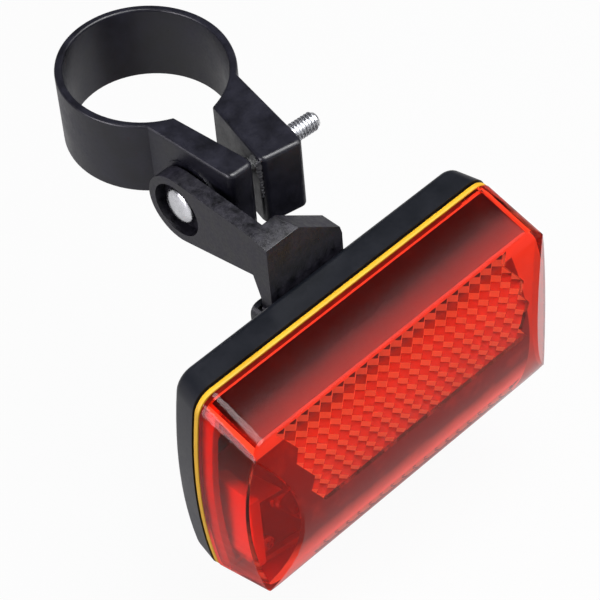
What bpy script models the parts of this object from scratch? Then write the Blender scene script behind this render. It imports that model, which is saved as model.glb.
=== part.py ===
# Bicycle rear light with its seat post clamp.
# Sizes below are in millimetres and become metres in the meshes.
# The origin is the centre of the clamp's bore. X runs along the clamp bolt,
# the lens faces -Y and Z is up.

import math

import bmesh
import bpy
from mathutils import Matrix, Vector

MM = 0.001
WELD = 0.000002
GAP = 0.3
REACH = 90.0

# Clamp band and its two ears
BORE_HALF_X = 15.5
BORE_HALF_Y = 16.45
BAND_WALL = 1.6
BAND_HALF_HEIGHT = 8.55
BAND_EDGE = 0.5
RING_STEPS = 72
FAR_SPREAD = 2.0
FAR_SPREAD_START = 15.0
NEAR_EAR_INNER_ANGLE = 247.0
NEAR_EAR_OUTER_ANGLE = 228.8
NEAR_EAR_INNER_TIP = (-4.8, -35.35)
NEAR_EAR_OUTER_TIP = (-10.9, -35.1)
FAR_EAR_INNER_ANGLE = -88.0
FAR_EAR_OUTER_ANGLE = -57.0
FAR_EAR_INNER_TIP = (-4.0, -36.1)
FAR_EAR_OUTER_TIP = (5.3, -38.15)
EAR_CORNER = 1.4
EAR_TIP_EDGE = 1.0

# Clamp bolt, nut and the teeth between ear and arm
BOLT_Y = -24.4
BOLT_Z = -2.95
BOLT_TILT = 4.2
BOLT_PIVOT_X = -10.0
BOLT_RADIUS = 2.0
BOLT_HOLE_RADIUS = 2.35
BOLT_TIP_X = 19.1
BOLT_TIP_EDGE = 0.5
BOLT_HEAD_RADIUS = 3.85
BOLT_HEAD_RIM = 1.0
BOLT_HEAD_DOME = 1.2
BOLT_HEAD_STEPS = 6
NUT_ACROSS_FLATS = 7.0
NUT_HEIGHT = 3.2
NUT_SEAT_X = 4.6
NUT_BORE_RADIUS = 2.08
NUT_EDGE = 0.25
TEETH_X = -11.65
TEETH_ROOT = 1.2
TEETH_RADIUS = 8.2
TEETH_COUNT = 36
TEETH_DEPTH = 0.2

# Mounting arm, its foot and the tongue that the light slides on
ARM_OUTER_X = -16.0
ARM_INNER_X = -12.35
ARM_EYE_RADIUS = 7.6
ARM_EYE_STEPS = 24
COUNTERBORE_RADIUS = 5.85
COUNTERBORE_DEPTH = 2.6
ARM_TOP_Z = 3.7
ARM_BEND_INSET = 4.4
FOOT_FRONT_TOP_Z = 2.6
FOOT_THICKNESS = 4.75
FOOT_REAR_Z = -6.7
FOOT_RIGHT_X = 3.15
FOOT_CHAMFER_Z = -5.1
FOOT_CHAMFER_RISE = 8.0
FOOT_CHAMFER_RUN = 10.7
FOOT_CHAMFER_END = 0.45
FOOT_SIDE_DROP = 1.8
HEEL_STEP = 0.2
TONGUE_THICKNESS = 2.75
TONGUE_REAR_Z = -12.2
TONGUE_END_HEIGHT = 0.6
TONGUE_FLANGE = 0.6
TONGUE_FLANGE_INSET = 4.15
ARM_EDGE = 0.35

# Outline shared by housing, seal and lens
LIGHT_X = -4.2
LIGHT_Z = -34.7
LIGHT_Y = -56.8
HALF_HEIGHT = 24.85
HALF_LENGTH = 41.0
END_RADIUS = 118.0
CORNER_RADIUS = 4.4
CORNER_LEAST = 1.0
ARC_STEPS = 6
END_STEPS = 12

# Rear housing
HOUSING_BACK = -7.35
HOUSING_RIM = -0.8
HOUSING_WALL = 1.8
HOUSING_FLOOR = 1.6
HOUSING_END_DRAFT = 1.5
HOUSING_BACK_ROUND = 1.6
RAIL_WALL = 1.0
RAIL_LIP = 1.2
RAIL_LIP_REACH = 3.6
RAIL_TOP_INSET = 3.65
RAIL_STOP_HEIGHT = 2.1
RAIL_CORNER = 2.0
RAIL_FOOT_CORNER = 1.0
RAIL_CORNER_STEPS = 5
RAIL_EDGE = 0.25

# Seal
SEAL_BACK = -0.5
SEAL_FRONT = 0.7
SEAL_LEG_BACK = -2.6
SEAL_LIP_FRONT = 3.3
SEAL_LIP_WALL = 0.9
SEAL_BEAD_EDGE = 0.35
SEAL_END_INSET = 0.05
SEAL_SIDE_INSET = 0.4
SEAL_STEP = 0.1

# Lens
LENS_RIM = 1.0
LENS_WALL = 1.6
LENS_FRONT_WALL = 1.7
LENS_DRAFT = 16.8
LENS_DEPTH = 19.15
LENS_SPARE = 3.0
BARREL_RADIUS = 41.4
BARREL_SWEEP = 65.0
BARREL_STEPS = 30
FACET_LENGTH = 39.2
FACET_DEPTH = 14.3
FACET_ANGLE = 34.0
LENS_EDGE = 1.5

# Corner cube reflector moulded inside the lens
CUBE_PITCH = 3.08
CUBE_ROOT = 0.1
REFLECTOR_TOP_INSET = 4.25
REFLECTOR_ROWS = 8
REFLECTOR_COLUMNS = 22
REFLECTOR_LEFT_TOP_INSET = 10.4
REFLECTOR_LEFT_BOTTOM_INSET = 14.6
REFLECTOR_RIGHT_INSET = 11.8
REFLECTOR_RIGHT_BULGE = 1.6
STRIP_TOP_INSET = 9.45
STRIP_ROWS = 2

# Cells and their contacts
CELL_RADIUS = 5.25
CELL_LENGTH = 44.5
CELL_NUB_RADIUS = 1.9
CELL_NUB_HEIGHT = 1.0
CELL_EDGE = 0.5
CELL_SETBACK = 0.1
CELL_SIDE_INSET = 9.95
CELL_SPACING = 10.8
SPRING_LENGTH = 4.1
SPRING_RADIUS = 2.7
SPRING_WIRE = 0.3
SPRING_TURNS = 3
SPRING_STEPS = 20
PLATE_THICKNESS = 0.4
PLATE_HALF = 3.8

# Tray that carries the cells and the circuit board
TRAY_WALL = 1.2
TRAY_FRONT = 6.2
TRAY_SHELF_SETBACK = 0.6
TRAY_SHELF = 1.1
TRAY_BLOCK = 2.7
TRAY_BLOCK_FRONT = 8.2
TRAY_BLOCK_TOP = 1.7
TRAY_BLOCK_SIDE_INSET = 7.55
TRAY_END_INSET = 5.0
TRAY_BLOCK_EDGE = 0.5
SHELF_INSET_SHARE = 0.3
TRAY_SIDE_INSET = 5.15
TRAY_WINDOW_MARGIN = 3.0
TRAY_RIB_HALF = 0.5
TRAY_RIB_SETBACK = 3.8

# Circuit board and what is fixed to it
BOARD_THICKNESS = 1.6
LED_RADIUS = 2.5
LED_FLANGE_RADIUS = 2.9
LED_FLANGE = 1.0
LED_HEIGHT = 8.6
LED_STEPS = 6
LED_DROP = 7.0
LED_PITCH = 12.0
LED_COUNT = 5
SWITCH_HALF = 3.0
SWITCH_HEIGHT = 3.4
SWITCH_STEM_RADIUS = 1.75
SWITCH_STEM = 0.8
CHIP_EDGE = 0.12
CHIP_SIZE = (5.0, 1.5, 4.0)
CHIP_SHIFT = -9.8
CHIP_DROP = 11.3
RESISTOR_SIZE = (3.2, 0.6, 1.6)
RESISTOR_SHIFT = (-1.8, 4.2)
SCREW_END_INSET = (11.7, 10.3)
SCREW_SIDE_INSET = 7.75
SCREW_TIP = 0.5
SCREW_DOME_SHARE = 0.6
SCREW_HEAD_RADIUS = 2.0
SCREW_HEAD_HEIGHT = 1.2
SCREW_RADIUS = 0.95
SCREW_LENGTH = 4.0
SCREW_GAP = 0.1
POST_RADIUS = 2.2

# Push button
BUTTON_END_INSET = 16.8
BUTTON_SIDE_INSET = 13.65
BUTTON_EDGE = 0.5
BUTTON_RADIUS = 4.5
BUTTON_PROUD = 0.8
BUTTON_FLANGE_RADIUS = 5.6
BUTTON_FLANGE = 0.7
BUTTON_STEM_RADIUS = 2.2
BUTTON_TRAVEL = 0.5

# Sizes that follow from the ones above
SLOPE = math.tan(math.radians(LENS_DRAFT))
BARREL_CENTRE = LENS_DEPTH - BARREL_RADIUS
HOUSING_BACK_Y = LIGHT_Y - HOUSING_BACK
HOUSING_FLOOR_Y = HOUSING_BACK_Y - HOUSING_FLOOR
LIGHT_TOP_Z = LIGHT_Z + HALF_HEIGHT
LIGHT_BOTTOM_Z = LIGHT_Z - HALF_HEIGHT
LIGHT_LEFT_X = LIGHT_X - HALF_LENGTH
LIGHT_RIGHT_X = LIGHT_X + HALF_LENGTH
FOOT_FRONT_Y = HOUSING_BACK_Y + GAP
FOOT_REAR_Y = FOOT_FRONT_Y + FOOT_THICKNESS
ARM_TOP_BEND_Y = FOOT_FRONT_Y + ARM_BEND_INSET
TONGUE_REAR_Y = FOOT_FRONT_Y + TONGUE_THICKNESS
TONGUE_END_Z = LIGHT_Z + TONGUE_END_HEIGHT
TONGUE_FLANGE_Z = LIGHT_TOP_Z - TONGUE_FLANGE_INSET
RAIL_TOP_Z = LIGHT_TOP_Z - RAIL_TOP_INSET
REFLECTOR_TOP_ARC = HALF_HEIGHT - REFLECTOR_TOP_INSET
REFLECTOR_LEFT_TOP = REFLECTOR_LEFT_TOP_INSET - HALF_LENGTH
REFLECTOR_LEFT_BOTTOM = REFLECTOR_LEFT_BOTTOM_INSET - HALF_LENGTH
REFLECTOR_RIGHT = HALF_LENGTH - REFLECTOR_RIGHT_INSET
STRIP_TOP_ARC = STRIP_TOP_INSET - HALF_HEIGHT
CELL_Y = LIGHT_Y + CELL_SETBACK
CELL_TOP_Z = LIGHT_TOP_Z - CELL_SIDE_INSET
TRAY_FRONT_Y = LIGHT_Y - TRAY_FRONT
TRAY_SHELF_Y = LIGHT_Y + TRAY_SHELF_SETBACK
TRAY_BLOCK_FRONT_Y = LIGHT_Y - TRAY_BLOCK_FRONT
TRAY_BLOCK_TOP_Z = LIGHT_Z + TRAY_BLOCK_TOP
TRAY_BLOCK_BOTTOM_Z = LIGHT_BOTTOM_Z + TRAY_BLOCK_SIDE_INSET
TRAY_BOTTOM_Z = LIGHT_BOTTOM_Z + TRAY_SIDE_INSET
TRAY_TOP_Z = LIGHT_TOP_Z - TRAY_SIDE_INSET
TRAY_RIB_Y = LIGHT_Y + TRAY_RIB_SETBACK
LED_Z = LIGHT_Z - LED_DROP
CHIP_X = LIGHT_X + CHIP_SHIFT
CHIP_Z = LIGHT_Z - CHIP_DROP
RESISTOR_X = [LIGHT_X + shift for shift in RESISTOR_SHIFT]
SCREW_Z = LIGHT_BOTTOM_Z + SCREW_SIDE_INSET
BUTTON_Z = LIGHT_BOTTOM_Z + BUTTON_SIDE_INSET
CUBE_HEIGHT = CUBE_PITCH / math.sqrt(6.0)
CUBE_ROW = CUBE_PITCH * math.sqrt(3.0) / 2.0
BOARD_BACK_Y = TRAY_SHELF_Y - TRAY_SHELF - GAP
BOARD_FRONT_Y = BOARD_BACK_Y - BOARD_THICKNESS
CELL_BOTTOM_Z = CELL_TOP_Z - CELL_SPACING
TRAY_HALF_LENGTH = HALF_LENGTH - TRAY_END_INSET
SHELF_HALF_LENGTH = TRAY_HALF_LENGTH - TRAY_BLOCK * SHELF_INSET_SHARE
SCREW_X = (LIGHT_LEFT_X + SCREW_END_INSET[0], LIGHT_RIGHT_X - SCREW_END_INSET[1])
BUTTON_X = LIGHT_RIGHT_X - BUTTON_END_INSET
TRAY_SPLIT_Z = CELL_BOTTOM_Z - CELL_RADIUS - GAP
CELL_BAY_HALF = (CELL_LENGTH + SPRING_LENGTH + PLATE_THICKNESS + 4.0 * GAP) / 2.0
CELL_SHIFT = CELL_BAY_HALF - PLATE_THICKNESS - 2.0 * GAP - CELL_LENGTH / 2.0
BOLT_SEAT_X = ARM_OUTER_X + COUNTERBORE_DEPTH

# Planes: outline axes and the axis that the outline is extruded along
PLANES = {
    "XY": Matrix(((1, 0, 0), (0, 1, 0), (0, 0, 1))),
    "YZ": Matrix(((0, 0, 1), (1, 0, 0), (0, 1, 0))),
    "XZ": Matrix(((1, 0, 0), (0, 0, -1), (0, 1, 0))),
}

TURNS = {
    "X": Matrix.Rotation(math.pi / 2.0, 4, "Y"),
    "Y": Matrix.Rotation(-math.pi / 2.0, 4, "X"),
    "Z": Matrix.Identity(4),
}


def clear_scene():
    for obj in list(bpy.data.objects):
        bpy.data.objects.remove(obj, do_unlink=True)


def make_collection(name):
    collection = bpy.data.collections.new(name)
    bpy.context.scene.collection.children.link(collection)
    return collection


def make_material(name, color, roughness, metallic=0.0, transmission=0.0):
    material = bpy.data.materials.new(name)
    material.use_nodes = True
    shader = material.node_tree.nodes["Principled BSDF"]
    shader.inputs["Base Color"].default_value = (*color, 1.0)
    shader.inputs["Roughness"].default_value = roughness
    shader.inputs["Metallic"].default_value = metallic
    shader.inputs["Transmission Weight"].default_value = transmission
    material.diffuse_color = (*color, 1.0)
    return material


clear_scene()
PARTS = make_collection("bicycle_rear_light")
CUTTERS = make_collection("cutters")


def add_object(name, bm):
    """Turn a bmesh into an object of the parts collection, faces outward."""
    bmesh.ops.recalc_face_normals(bm, faces=bm.faces)
    mesh = bpy.data.meshes.new(name)
    bm.to_mesh(mesh)
    bm.free()
    obj = bpy.data.objects.new(name, mesh)
    PARTS.objects.link(obj)
    return obj


def baked(obj):
    """Mesh of an object with its modifiers applied."""
    bpy.context.view_layer.update()
    graph = bpy.context.evaluated_depsgraph_get()
    return bpy.data.meshes.new_from_object(obj.evaluated_get(graph))


def apply_modifiers(obj):
    mesh = baked(obj)
    obj.modifiers.clear()
    obj.data = mesh
    return obj


def prism(name, outline, low, high, plane="XY"):
    """Flat outline extruded from low to high along the plane's normal."""
    curve = bpy.data.curves.new(name, "CURVE")
    curve.dimensions = "2D"
    curve.fill_mode = "BOTH"
    curve.extrude = (high - low) / 2.0 * MM
    spline = curve.splines.new("POLY")
    spline.points.add(len(outline) - 1)
    for point, (a, b) in zip(spline.points, outline):
        point.co = (a * MM, b * MM, 0.0, 1.0)
    spline.use_cyclic_u = True
    holder = bpy.data.objects.new(name + "_curve", curve)
    PARTS.objects.link(holder)
    mesh = baked(holder)
    bpy.data.objects.remove(holder, do_unlink=True)
    bm = bmesh.new()
    bm.from_mesh(mesh)
    bmesh.ops.remove_doubles(bm, verts=bm.verts, dist=WELD)
    bmesh.ops.dissolve_limit(bm, angle_limit=math.radians(0.4), verts=bm.verts, edges=bm.edges)
    middle = Vector((0.0, 0.0, (low + high) / 2.0 * MM))
    bmesh.ops.translate(bm, verts=bm.verts, vec=middle)
    bmesh.ops.transform(bm, matrix=PLANES[plane].to_4x4(), verts=bm.verts)
    return add_object(name, bm)


def box(name, low, high):
    """Box between two opposite corners."""
    size = [(b - a) * MM for a, b in zip(low, high)]
    centre = Vector([(a + b) / 2.0 * MM for a, b in zip(low, high)])
    bm = bmesh.new()
    bmesh.ops.create_cube(bm, size=1.0, matrix=Matrix.Translation(centre) @ Matrix.Diagonal((*size, 1.0)))
    return add_object(name, bm)


def cylinder(name, axis, centre, radius, low, high, segments=32, top_radius=None):
    """Cylinder or cone from low to high along a row axis."""
    if top_radius is None:
        top_radius = radius
    bm = bmesh.new()
    bmesh.ops.create_cone(
        bm,
        cap_ends=True,
        segments=segments,
        radius1=radius * MM,
        radius2=top_radius * MM,
        depth=(high - low) * MM,
    )
    bmesh.ops.transform(bm, matrix=TURNS[axis], verts=bm.verts)
    middle = (low + high) / 2.0
    spot = {
        "X": (middle, centre[0], centre[1]),
        "Y": (centre[0], middle, centre[1]),
        "Z": (centre[0], centre[1], middle),
    }[axis]
    bmesh.ops.translate(bm, verts=bm.verts, vec=Vector(spot) * MM)
    return add_object(name, bm)


def revolve(name, profile, axis, origin, segments=32):
    """Profile of (radius, height) pairs turned about a row axis, top first."""
    mesh = bpy.data.meshes.new(name)
    points = [(radius * MM, 0.0, height * MM) for radius, height in profile]
    edges = [(i, i + 1) for i in range(len(points) - 1)]
    mesh.from_pydata(points, edges, [])
    obj = bpy.data.objects.new(name, mesh)
    PARTS.objects.link(obj)
    screw = obj.modifiers.new("turn", "SCREW")
    screw.axis = "Z"
    screw.angle = 2.0 * math.pi
    screw.steps = segments
    screw.render_steps = segments
    screw.use_merge_vertices = True
    screw.merge_threshold = 0.00001
    apply_modifiers(obj)
    bm = bmesh.new()
    bm.from_mesh(obj.data)
    bmesh.ops.remove_doubles(bm, verts=bm.verts, dist=WELD)
    bmesh.ops.transform(bm, matrix=TURNS[axis], verts=bm.verts)
    bmesh.ops.translate(bm, verts=bm.verts, vec=Vector(origin) * MM)
    bpy.data.objects.remove(obj, do_unlink=True)
    return add_object(name, bm)


def combine(target, tool, operation):
    """Exact Boolean with a tool that moves to the cutters collection."""
    modifier = target.modifiers.new(tool.name, "BOOLEAN")
    modifier.operation = operation
    modifier.solver = "EXACT"
    modifier.object = tool
    PARTS.objects.unlink(tool)
    CUTTERS.objects.link(tool)
    tool.hide_render = True
    tool.display_type = "WIRE"
    return target


def cut(target, tool):
    return combine(target, tool, "DIFFERENCE")


def join(target, tool):
    return combine(target, tool, "UNION")


def keep(target, tool):
    return combine(target, tool, "INTERSECT")


def soften(obj, width, segments=2, angle=30.0):
    """Round every edge that is sharper than the angle."""
    bevel = obj.modifiers.new("soften", "BEVEL")
    bevel.width = width * MM
    bevel.segments = segments
    bevel.limit_method = "ANGLE"
    bevel.angle_limit = math.radians(angle)
    bevel.use_clamp_overlap = True
    return obj


def finish(obj, material, origin=(0.0, 0.0, 0.0)):
    """Give the material and put the object's origin on its joint."""
    obj.data.materials.clear()
    obj.data.materials.append(material)
    spot = Vector(origin) * MM
    obj.data.transform(Matrix.Translation(-spot))
    obj.location = spot
    return obj


def arc(centre, radius, start, stop, steps):
    """Points of an arc, angles in degrees."""
    points = []
    for i in range(steps + 1):
        angle = math.radians(start + (stop - start) * i / steps)
        points.append((centre[0] + radius * math.cos(angle), centre[1] + radius * math.sin(angle)))
    return points


def rounded(points, radius, steps=4):
    """Round the corners of a polygon. Radius is one number or one for each corner."""
    radii = radius if isinstance(radius, (list, tuple)) else [radius] * len(points)
    result = []
    for i, corner in enumerate(points):
        here = Vector(corner)
        back = (Vector(points[i - 1]) - here).normalized()
        ahead = (Vector(points[(i + 1) % len(points)]) - here).normalized()
        if radii[i] <= 0.0:
            result.append((here.x, here.y))
            continue
        half = back.angle(ahead) / 2.0
        reach = radii[i] / math.tan(half)
        middle = here + (back + ahead).normalized() * radii[i] / math.sin(half)
        start = here + back * reach - middle
        stop = here + ahead * reach - middle
        turn = start.angle_signed(stop)
        for step in range(steps + 1):
            spoke = start.copy()
            spoke.rotate(Matrix.Rotation(-turn * step / steps, 2))
            result.append((middle.x + spoke.x, middle.y + spoke.y))
    return result


def tangent(point, centre, radius, side):
    """Angle in degrees at which a line from the point touches a circle."""
    offset = Vector(point) - Vector(centre)
    spread = math.degrees(math.acos(radius / offset.length))
    return math.degrees(math.atan2(offset.y, offset.x)) + side * spread


def tilt(obj):
    """Lean a piece of the bolt's with the bolt, which sits askew in its holes."""
    pivot = Vector((BOLT_PIVOT_X, BOLT_Y, BOLT_Z)) * MM
    turn = Matrix.Rotation(math.radians(-BOLT_TILT), 4, "Z")
    obj.data.transform(Matrix.Translation(pivot) @ turn @ Matrix.Translation(-pivot))
    return obj


def crown(name, radius, base_x, middle, phase, outward):
    """Disc with radial teeth on one side, as on a locking joint."""
    segments = 2 * TEETH_COUNT
    depth = TEETH_DEPTH * radius / TEETH_RADIUS
    disc = cylinder(name, "X", (BOLT_Y, BOLT_Z), radius, min(base_x, middle), max(base_x, middle), segments)
    bm = bmesh.new()
    bm.from_mesh(disc.data)
    bpy.data.objects.remove(disc, do_unlink=True)
    rim = [v for v in bm.verts if abs(v.co.x - middle * MM) < WELD]
    cap = [f for f in bm.faces if all(v in rim for v in f.verts)]
    bmesh.ops.poke(bm, faces=cap)
    for vert in rim:
        turn = math.atan2(vert.co.z - BOLT_Z * MM, vert.co.y - BOLT_Y * MM) / (2.0 * math.pi)
        high = round(turn * segments) % 2 == phase
        vert.co.x += outward * depth * MM * (0.5 if high else -0.5)
    return add_object(name, bm)


def band_arc(start, stop, wall):
    """Points along the band, a slightly oval ring whose far end springs open."""
    points = []
    for i in range(RING_STEPS + 1):
        degrees = start + (stop - start) * i / RING_STEPS
        angle = math.radians(degrees)
        flat = math.hypot(BORE_HALF_Y * math.cos(angle), BORE_HALF_X * math.sin(angle))
        opened = max(-degrees - FAR_SPREAD_START, 0.0) / (90.0 - FAR_SPREAD_START)
        radius = BORE_HALF_X * BORE_HALF_Y / flat + FAR_SPREAD * opened**2 + wall
        points.append((radius * math.cos(angle), radius * math.sin(angle)))
    return points


def build_clamp_band(material):
    """One-piece C-shaped band with two ears."""
    outer = band_arc(FAR_EAR_OUTER_ANGLE, NEAR_EAR_OUTER_ANGLE, BAND_WALL)
    bore = band_arc(NEAR_EAR_INNER_ANGLE, FAR_EAR_INNER_ANGLE, 0.0)
    near = [NEAR_EAR_OUTER_TIP, NEAR_EAR_INNER_TIP]
    far = [FAR_EAR_INNER_TIP, FAR_EAR_OUTER_TIP]
    radii = [0.0] * len(outer) + [EAR_CORNER] * 2 + [0.0] * len(bore) + [EAR_CORNER] * 2
    outline = rounded(outer + near + bore + far, radii)
    band = prism("clamp_band", outline, -BAND_HALF_HEIGHT, BAND_HALF_HEIGHT)
    soften_band(band)
    teeth = crown("ear_teeth", TEETH_RADIUS, TEETH_X + TEETH_ROOT, TEETH_X, 0, -1.0)
    trim = box(
        "ear_teeth_trim",
        (-REACH, -REACH, -BAND_HALF_HEIGHT + BAND_EDGE),
        (REACH, REACH, REACH),
    )
    keep(teeth, trim)
    join(band, teeth)
    hole = cylinder("band_bolt_hole", "X", (BOLT_Y, BOLT_Z), BOLT_HOLE_RADIUS, -REACH, REACH)
    pocket = cylinder(
        "nut_pocket",
        "X",
        (BOLT_Y, BOLT_Z),
        (NUT_ACROSS_FLATS / 2.0 + GAP) / math.cos(math.pi / 6.0),
        NUT_SEAT_X,
        REACH,
        6,
    )
    cut(band, tilt(hole))
    cut(band, tilt(pocket))
    return finish(band, material)


def soften_band(band):
    """Round the band's edges, and the ears' tips more than the rest."""
    tip_y = NEAR_EAR_OUTER_TIP[1] + EAR_CORNER
    mesh = band.data
    weights = mesh.attributes.new("bevel_weight_edge", "FLOAT", "EDGE")
    for edge in mesh.edges:
        ends = [mesh.vertices[i].co for i in edge.vertices]
        level = abs(ends[0].z - ends[1].z) < WELD
        at_tip = all(end.y < tip_y * MM for end in ends)
        if level:
            weights.data[edge.index].value = 1.0 if at_tip else BAND_EDGE / EAR_TIP_EDGE
    bevel = band.modifiers.new("soften", "BEVEL")
    bevel.width = EAR_TIP_EDGE * MM
    bevel.segments = 3
    bevel.limit_method = "WEIGHT"
    bevel.use_clamp_overlap = True
    return band


def build_bolt(material):
    """Domed screw with a plain shank; its thread is dressed on later."""
    profile = []
    for step in range(BOLT_HEAD_STEPS + 1):
        angle = math.pi / 2.0 * step / BOLT_HEAD_STEPS
        height = BOLT_HEAD_RIM + BOLT_HEAD_DOME * math.cos(angle)
        profile.append((BOLT_HEAD_RADIUS * math.sin(angle), height))
    length = BOLT_TIP_X - BOLT_SEAT_X + GAP
    profile.append((BOLT_HEAD_RADIUS, 0.0))
    profile.append((BOLT_RADIUS, 0.0))
    profile.append((BOLT_RADIUS, -length + BOLT_TIP_EDGE))
    profile.append((BOLT_RADIUS - BOLT_TIP_EDGE, -length))
    profile.append((0.0, -length))
    bolt = revolve("clamp_bolt", profile, "X", (0.0, 0.0, 0.0), 32)
    flip = Matrix.Rotation(math.pi, 4, "Z")
    bolt.data.transform(flip)
    shift = Vector((BOLT_SEAT_X - GAP, BOLT_Y, BOLT_Z)) * MM
    bolt.data.transform(Matrix.Translation(shift))
    return finish(tilt(bolt), material, (BOLT_PIVOT_X, BOLT_Y, BOLT_Z))


def build_nut(material):
    """Hexagon nut that sits in the far ear's pocket."""
    radius = NUT_ACROSS_FLATS / 2.0 / math.cos(math.pi / 6.0)
    start = NUT_SEAT_X + GAP
    nut = cylinder("clamp_nut", "X", (BOLT_Y, BOLT_Z), radius, start, start + NUT_HEIGHT, 6)
    hole = cylinder("nut_bore", "X", (BOLT_Y, BOLT_Z), NUT_BORE_RADIUS, -REACH, REACH)
    soften(nut, NUT_EDGE, 1)
    cut(tilt(nut), tilt(hole))
    return finish(nut, material, (start, BOLT_Y, BOLT_Z))


def build_arm(material):
    """Arm with an eye at the bolt and a flat tongue at its foot."""
    eye = (BOLT_Y, BOLT_Z)
    top_bend = (ARM_TOP_BEND_Y, ARM_TOP_Z)
    heel = (FOOT_REAR_Y - HEEL_STEP, FOOT_REAR_Z)
    upper = tangent(top_bend, eye, ARM_EYE_RADIUS, -1.0)
    lower = tangent(heel, eye, ARM_EYE_RADIUS, 1.0)
    left = ARM_OUTER_X - TONGUE_FLANGE
    right = FOOT_RIGHT_X + TONGUE_FLANGE
    side = arc(eye, ARM_EYE_RADIUS, lower, upper, ARM_EYE_STEPS)
    side += [
        top_bend,
        (FOOT_FRONT_Y, FOOT_FRONT_TOP_Z),
        (FOOT_FRONT_Y, TONGUE_END_Z),
        (TONGUE_REAR_Y, TONGUE_END_Z),
        (TONGUE_REAR_Y, TONGUE_REAR_Z),
        heel,
    ]
    arm = prism("mounting_arm", side, left - GAP, right + GAP, "YZ")
    chamfer_x = FOOT_RIGHT_X - FOOT_CHAMFER_END
    rise = (chamfer_x - ARM_OUTER_X) * FOOT_CHAMFER_RISE / FOOT_CHAMFER_RUN
    front = [
        (ARM_OUTER_X, FOOT_CHAMFER_Z + rise),
        (chamfer_x, FOOT_CHAMFER_Z),
        (FOOT_RIGHT_X, FOOT_CHAMFER_Z - FOOT_SIDE_DROP),
        (FOOT_RIGHT_X, TONGUE_FLANGE_Z),
        (right, TONGUE_FLANGE_Z - TONGUE_FLANGE),
        (right, TONGUE_END_Z - GAP),
        (left, TONGUE_END_Z - GAP),
        (left, TONGUE_FLANGE_Z - TONGUE_FLANGE),
        (ARM_OUTER_X, TONGUE_FLANGE_Z),
    ]
    keep(arm, prism("arm_front", front, -REACH, REACH, "XZ"))
    cut(arm, box("arm_inside", (ARM_INNER_X, FOOT_REAR_Y, -REACH), (REACH, REACH, REACH)))
    soften(arm, ARM_EDGE, 2, 35.0)
    facing_x = TEETH_X - TEETH_DEPTH - GAP
    join(arm, crown("arm_teeth", ARM_EYE_RADIUS - 2.0 * ARM_EDGE, ARM_INNER_X - GAP, facing_x, 1, 1.0))
    cut(arm, cylinder("arm_bolt_hole", "X", eye, BOLT_HOLE_RADIUS, -REACH, REACH))
    cut(arm, cylinder("arm_counterbore", "X", eye, COUNTERBORE_RADIUS, -REACH, BOLT_SEAT_X, 40))
    return finish(arm, material, (0.0, BOLT_Y, BOLT_Z))


def light_outline(inset=0.0, side_inset=None):
    """Rounded outline with bulging ends, inset all round, at the light's place."""
    half_height = HALF_HEIGHT - (inset if side_inset is None else side_inset)
    end_radius = END_RADIUS - inset
    corner = max(CORNER_RADIUS - inset, CORNER_LEAST)
    end_centre = HALF_LENGTH - END_RADIUS
    inner = end_radius - corner
    corner_x = end_centre + math.sqrt(inner**2 - (half_height - corner) ** 2)
    lean = math.degrees(math.atan2(half_height - corner, corner_x - end_centre))
    right = arc((corner_x, half_height - corner), corner, 90.0, lean, ARC_STEPS)
    right += arc((end_centre, 0.0), end_radius, lean, -lean, END_STEPS)[1:-1]
    right += arc((corner_x, corner - half_height), corner, -lean, -90.0, ARC_STEPS)
    left = [(-x, -z) for x, z in right]
    return [(LIGHT_X + x, LIGHT_Z + z) for x, z in right + left]


def light_prism(name, inset, low, high, side_inset=None):
    """Outline of the light between two depths in front of the seal plane."""
    return prism(name, light_outline(inset, side_inset), low - LIGHT_Y, high - LIGHT_Y, "XZ")


def draft(obj, inset, start=None):
    """Lean the long walls inward towards the front, from a depth onwards."""
    half = HALF_HEIGHT - inset
    bm = bmesh.new()
    bm.from_mesh(obj.data)
    if start is not None:
        bmesh.ops.bisect_plane(
            bm,
            geom=list(bm.verts) + list(bm.edges) + list(bm.faces),
            dist=WELD,
            plane_co=(0.0, (LIGHT_Y - start) * MM, 0.0),
            plane_no=(0.0, 1.0, 0.0),
        )
    for vert in bm.verts:
        depth = LIGHT_Y - vert.co.y / MM
        if start is not None:
            depth = max(depth - start, 0.0)
        height = vert.co.z - LIGHT_Z * MM
        vert.co.z = LIGHT_Z * MM + height * (half - SLOPE * depth) / half
    bm.to_mesh(obj.data)
    bm.free()
    return obj


def draft_ends(obj):
    """Draw the bulging ends in towards the housing's back."""
    span = HOUSING_RIM - HOUSING_BACK
    for vert in obj.data.vertices:
        depth = (LIGHT_Y - vert.co.y / MM - HOUSING_BACK) / span
        scale = 1.0 - (1.0 - depth) * HOUSING_END_DRAFT / HALF_LENGTH
        vert.co.x = LIGHT_X * MM + (vert.co.x - LIGHT_X * MM) * scale
    return obj


def build_housing(material):
    """Shallow rear shell with the rails for the arm's tongue."""
    housing = draft_ends(light_prism("rear_housing", 0.0, HOUSING_BACK, HOUSING_RIM))
    bm = bmesh.new()
    bm.from_mesh(housing.data)
    back = HOUSING_BACK_Y * MM
    edges = [e for e in bm.edges if all(abs(v.co.y - back) < WELD for v in e.verts)]
    bmesh.ops.bevel(
        bm,
        geom=edges,
        offset=HOUSING_BACK_ROUND * MM,
        offset_type="OFFSET",
        segments=4,
        profile=0.5,
        affect="EDGES",
    )
    bm.to_mesh(housing.data)
    bm.free()
    cavity = light_prism("housing_cavity", HOUSING_WALL, HOUSING_BACK + HOUSING_FLOOR, SEAL_FRONT)
    cut(housing, draft_ends(cavity))
    add_rails(housing)
    hole = cylinder(
        "button_hole", "Y", (BUTTON_X, BUTTON_Z), BUTTON_RADIUS + GAP, HOUSING_FLOOR_Y - GAP, REACH
    )
    cut(housing, hole)
    return finish(housing, material, (0.0, HOUSING_BACK_Y, TONGUE_END_Z))


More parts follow.
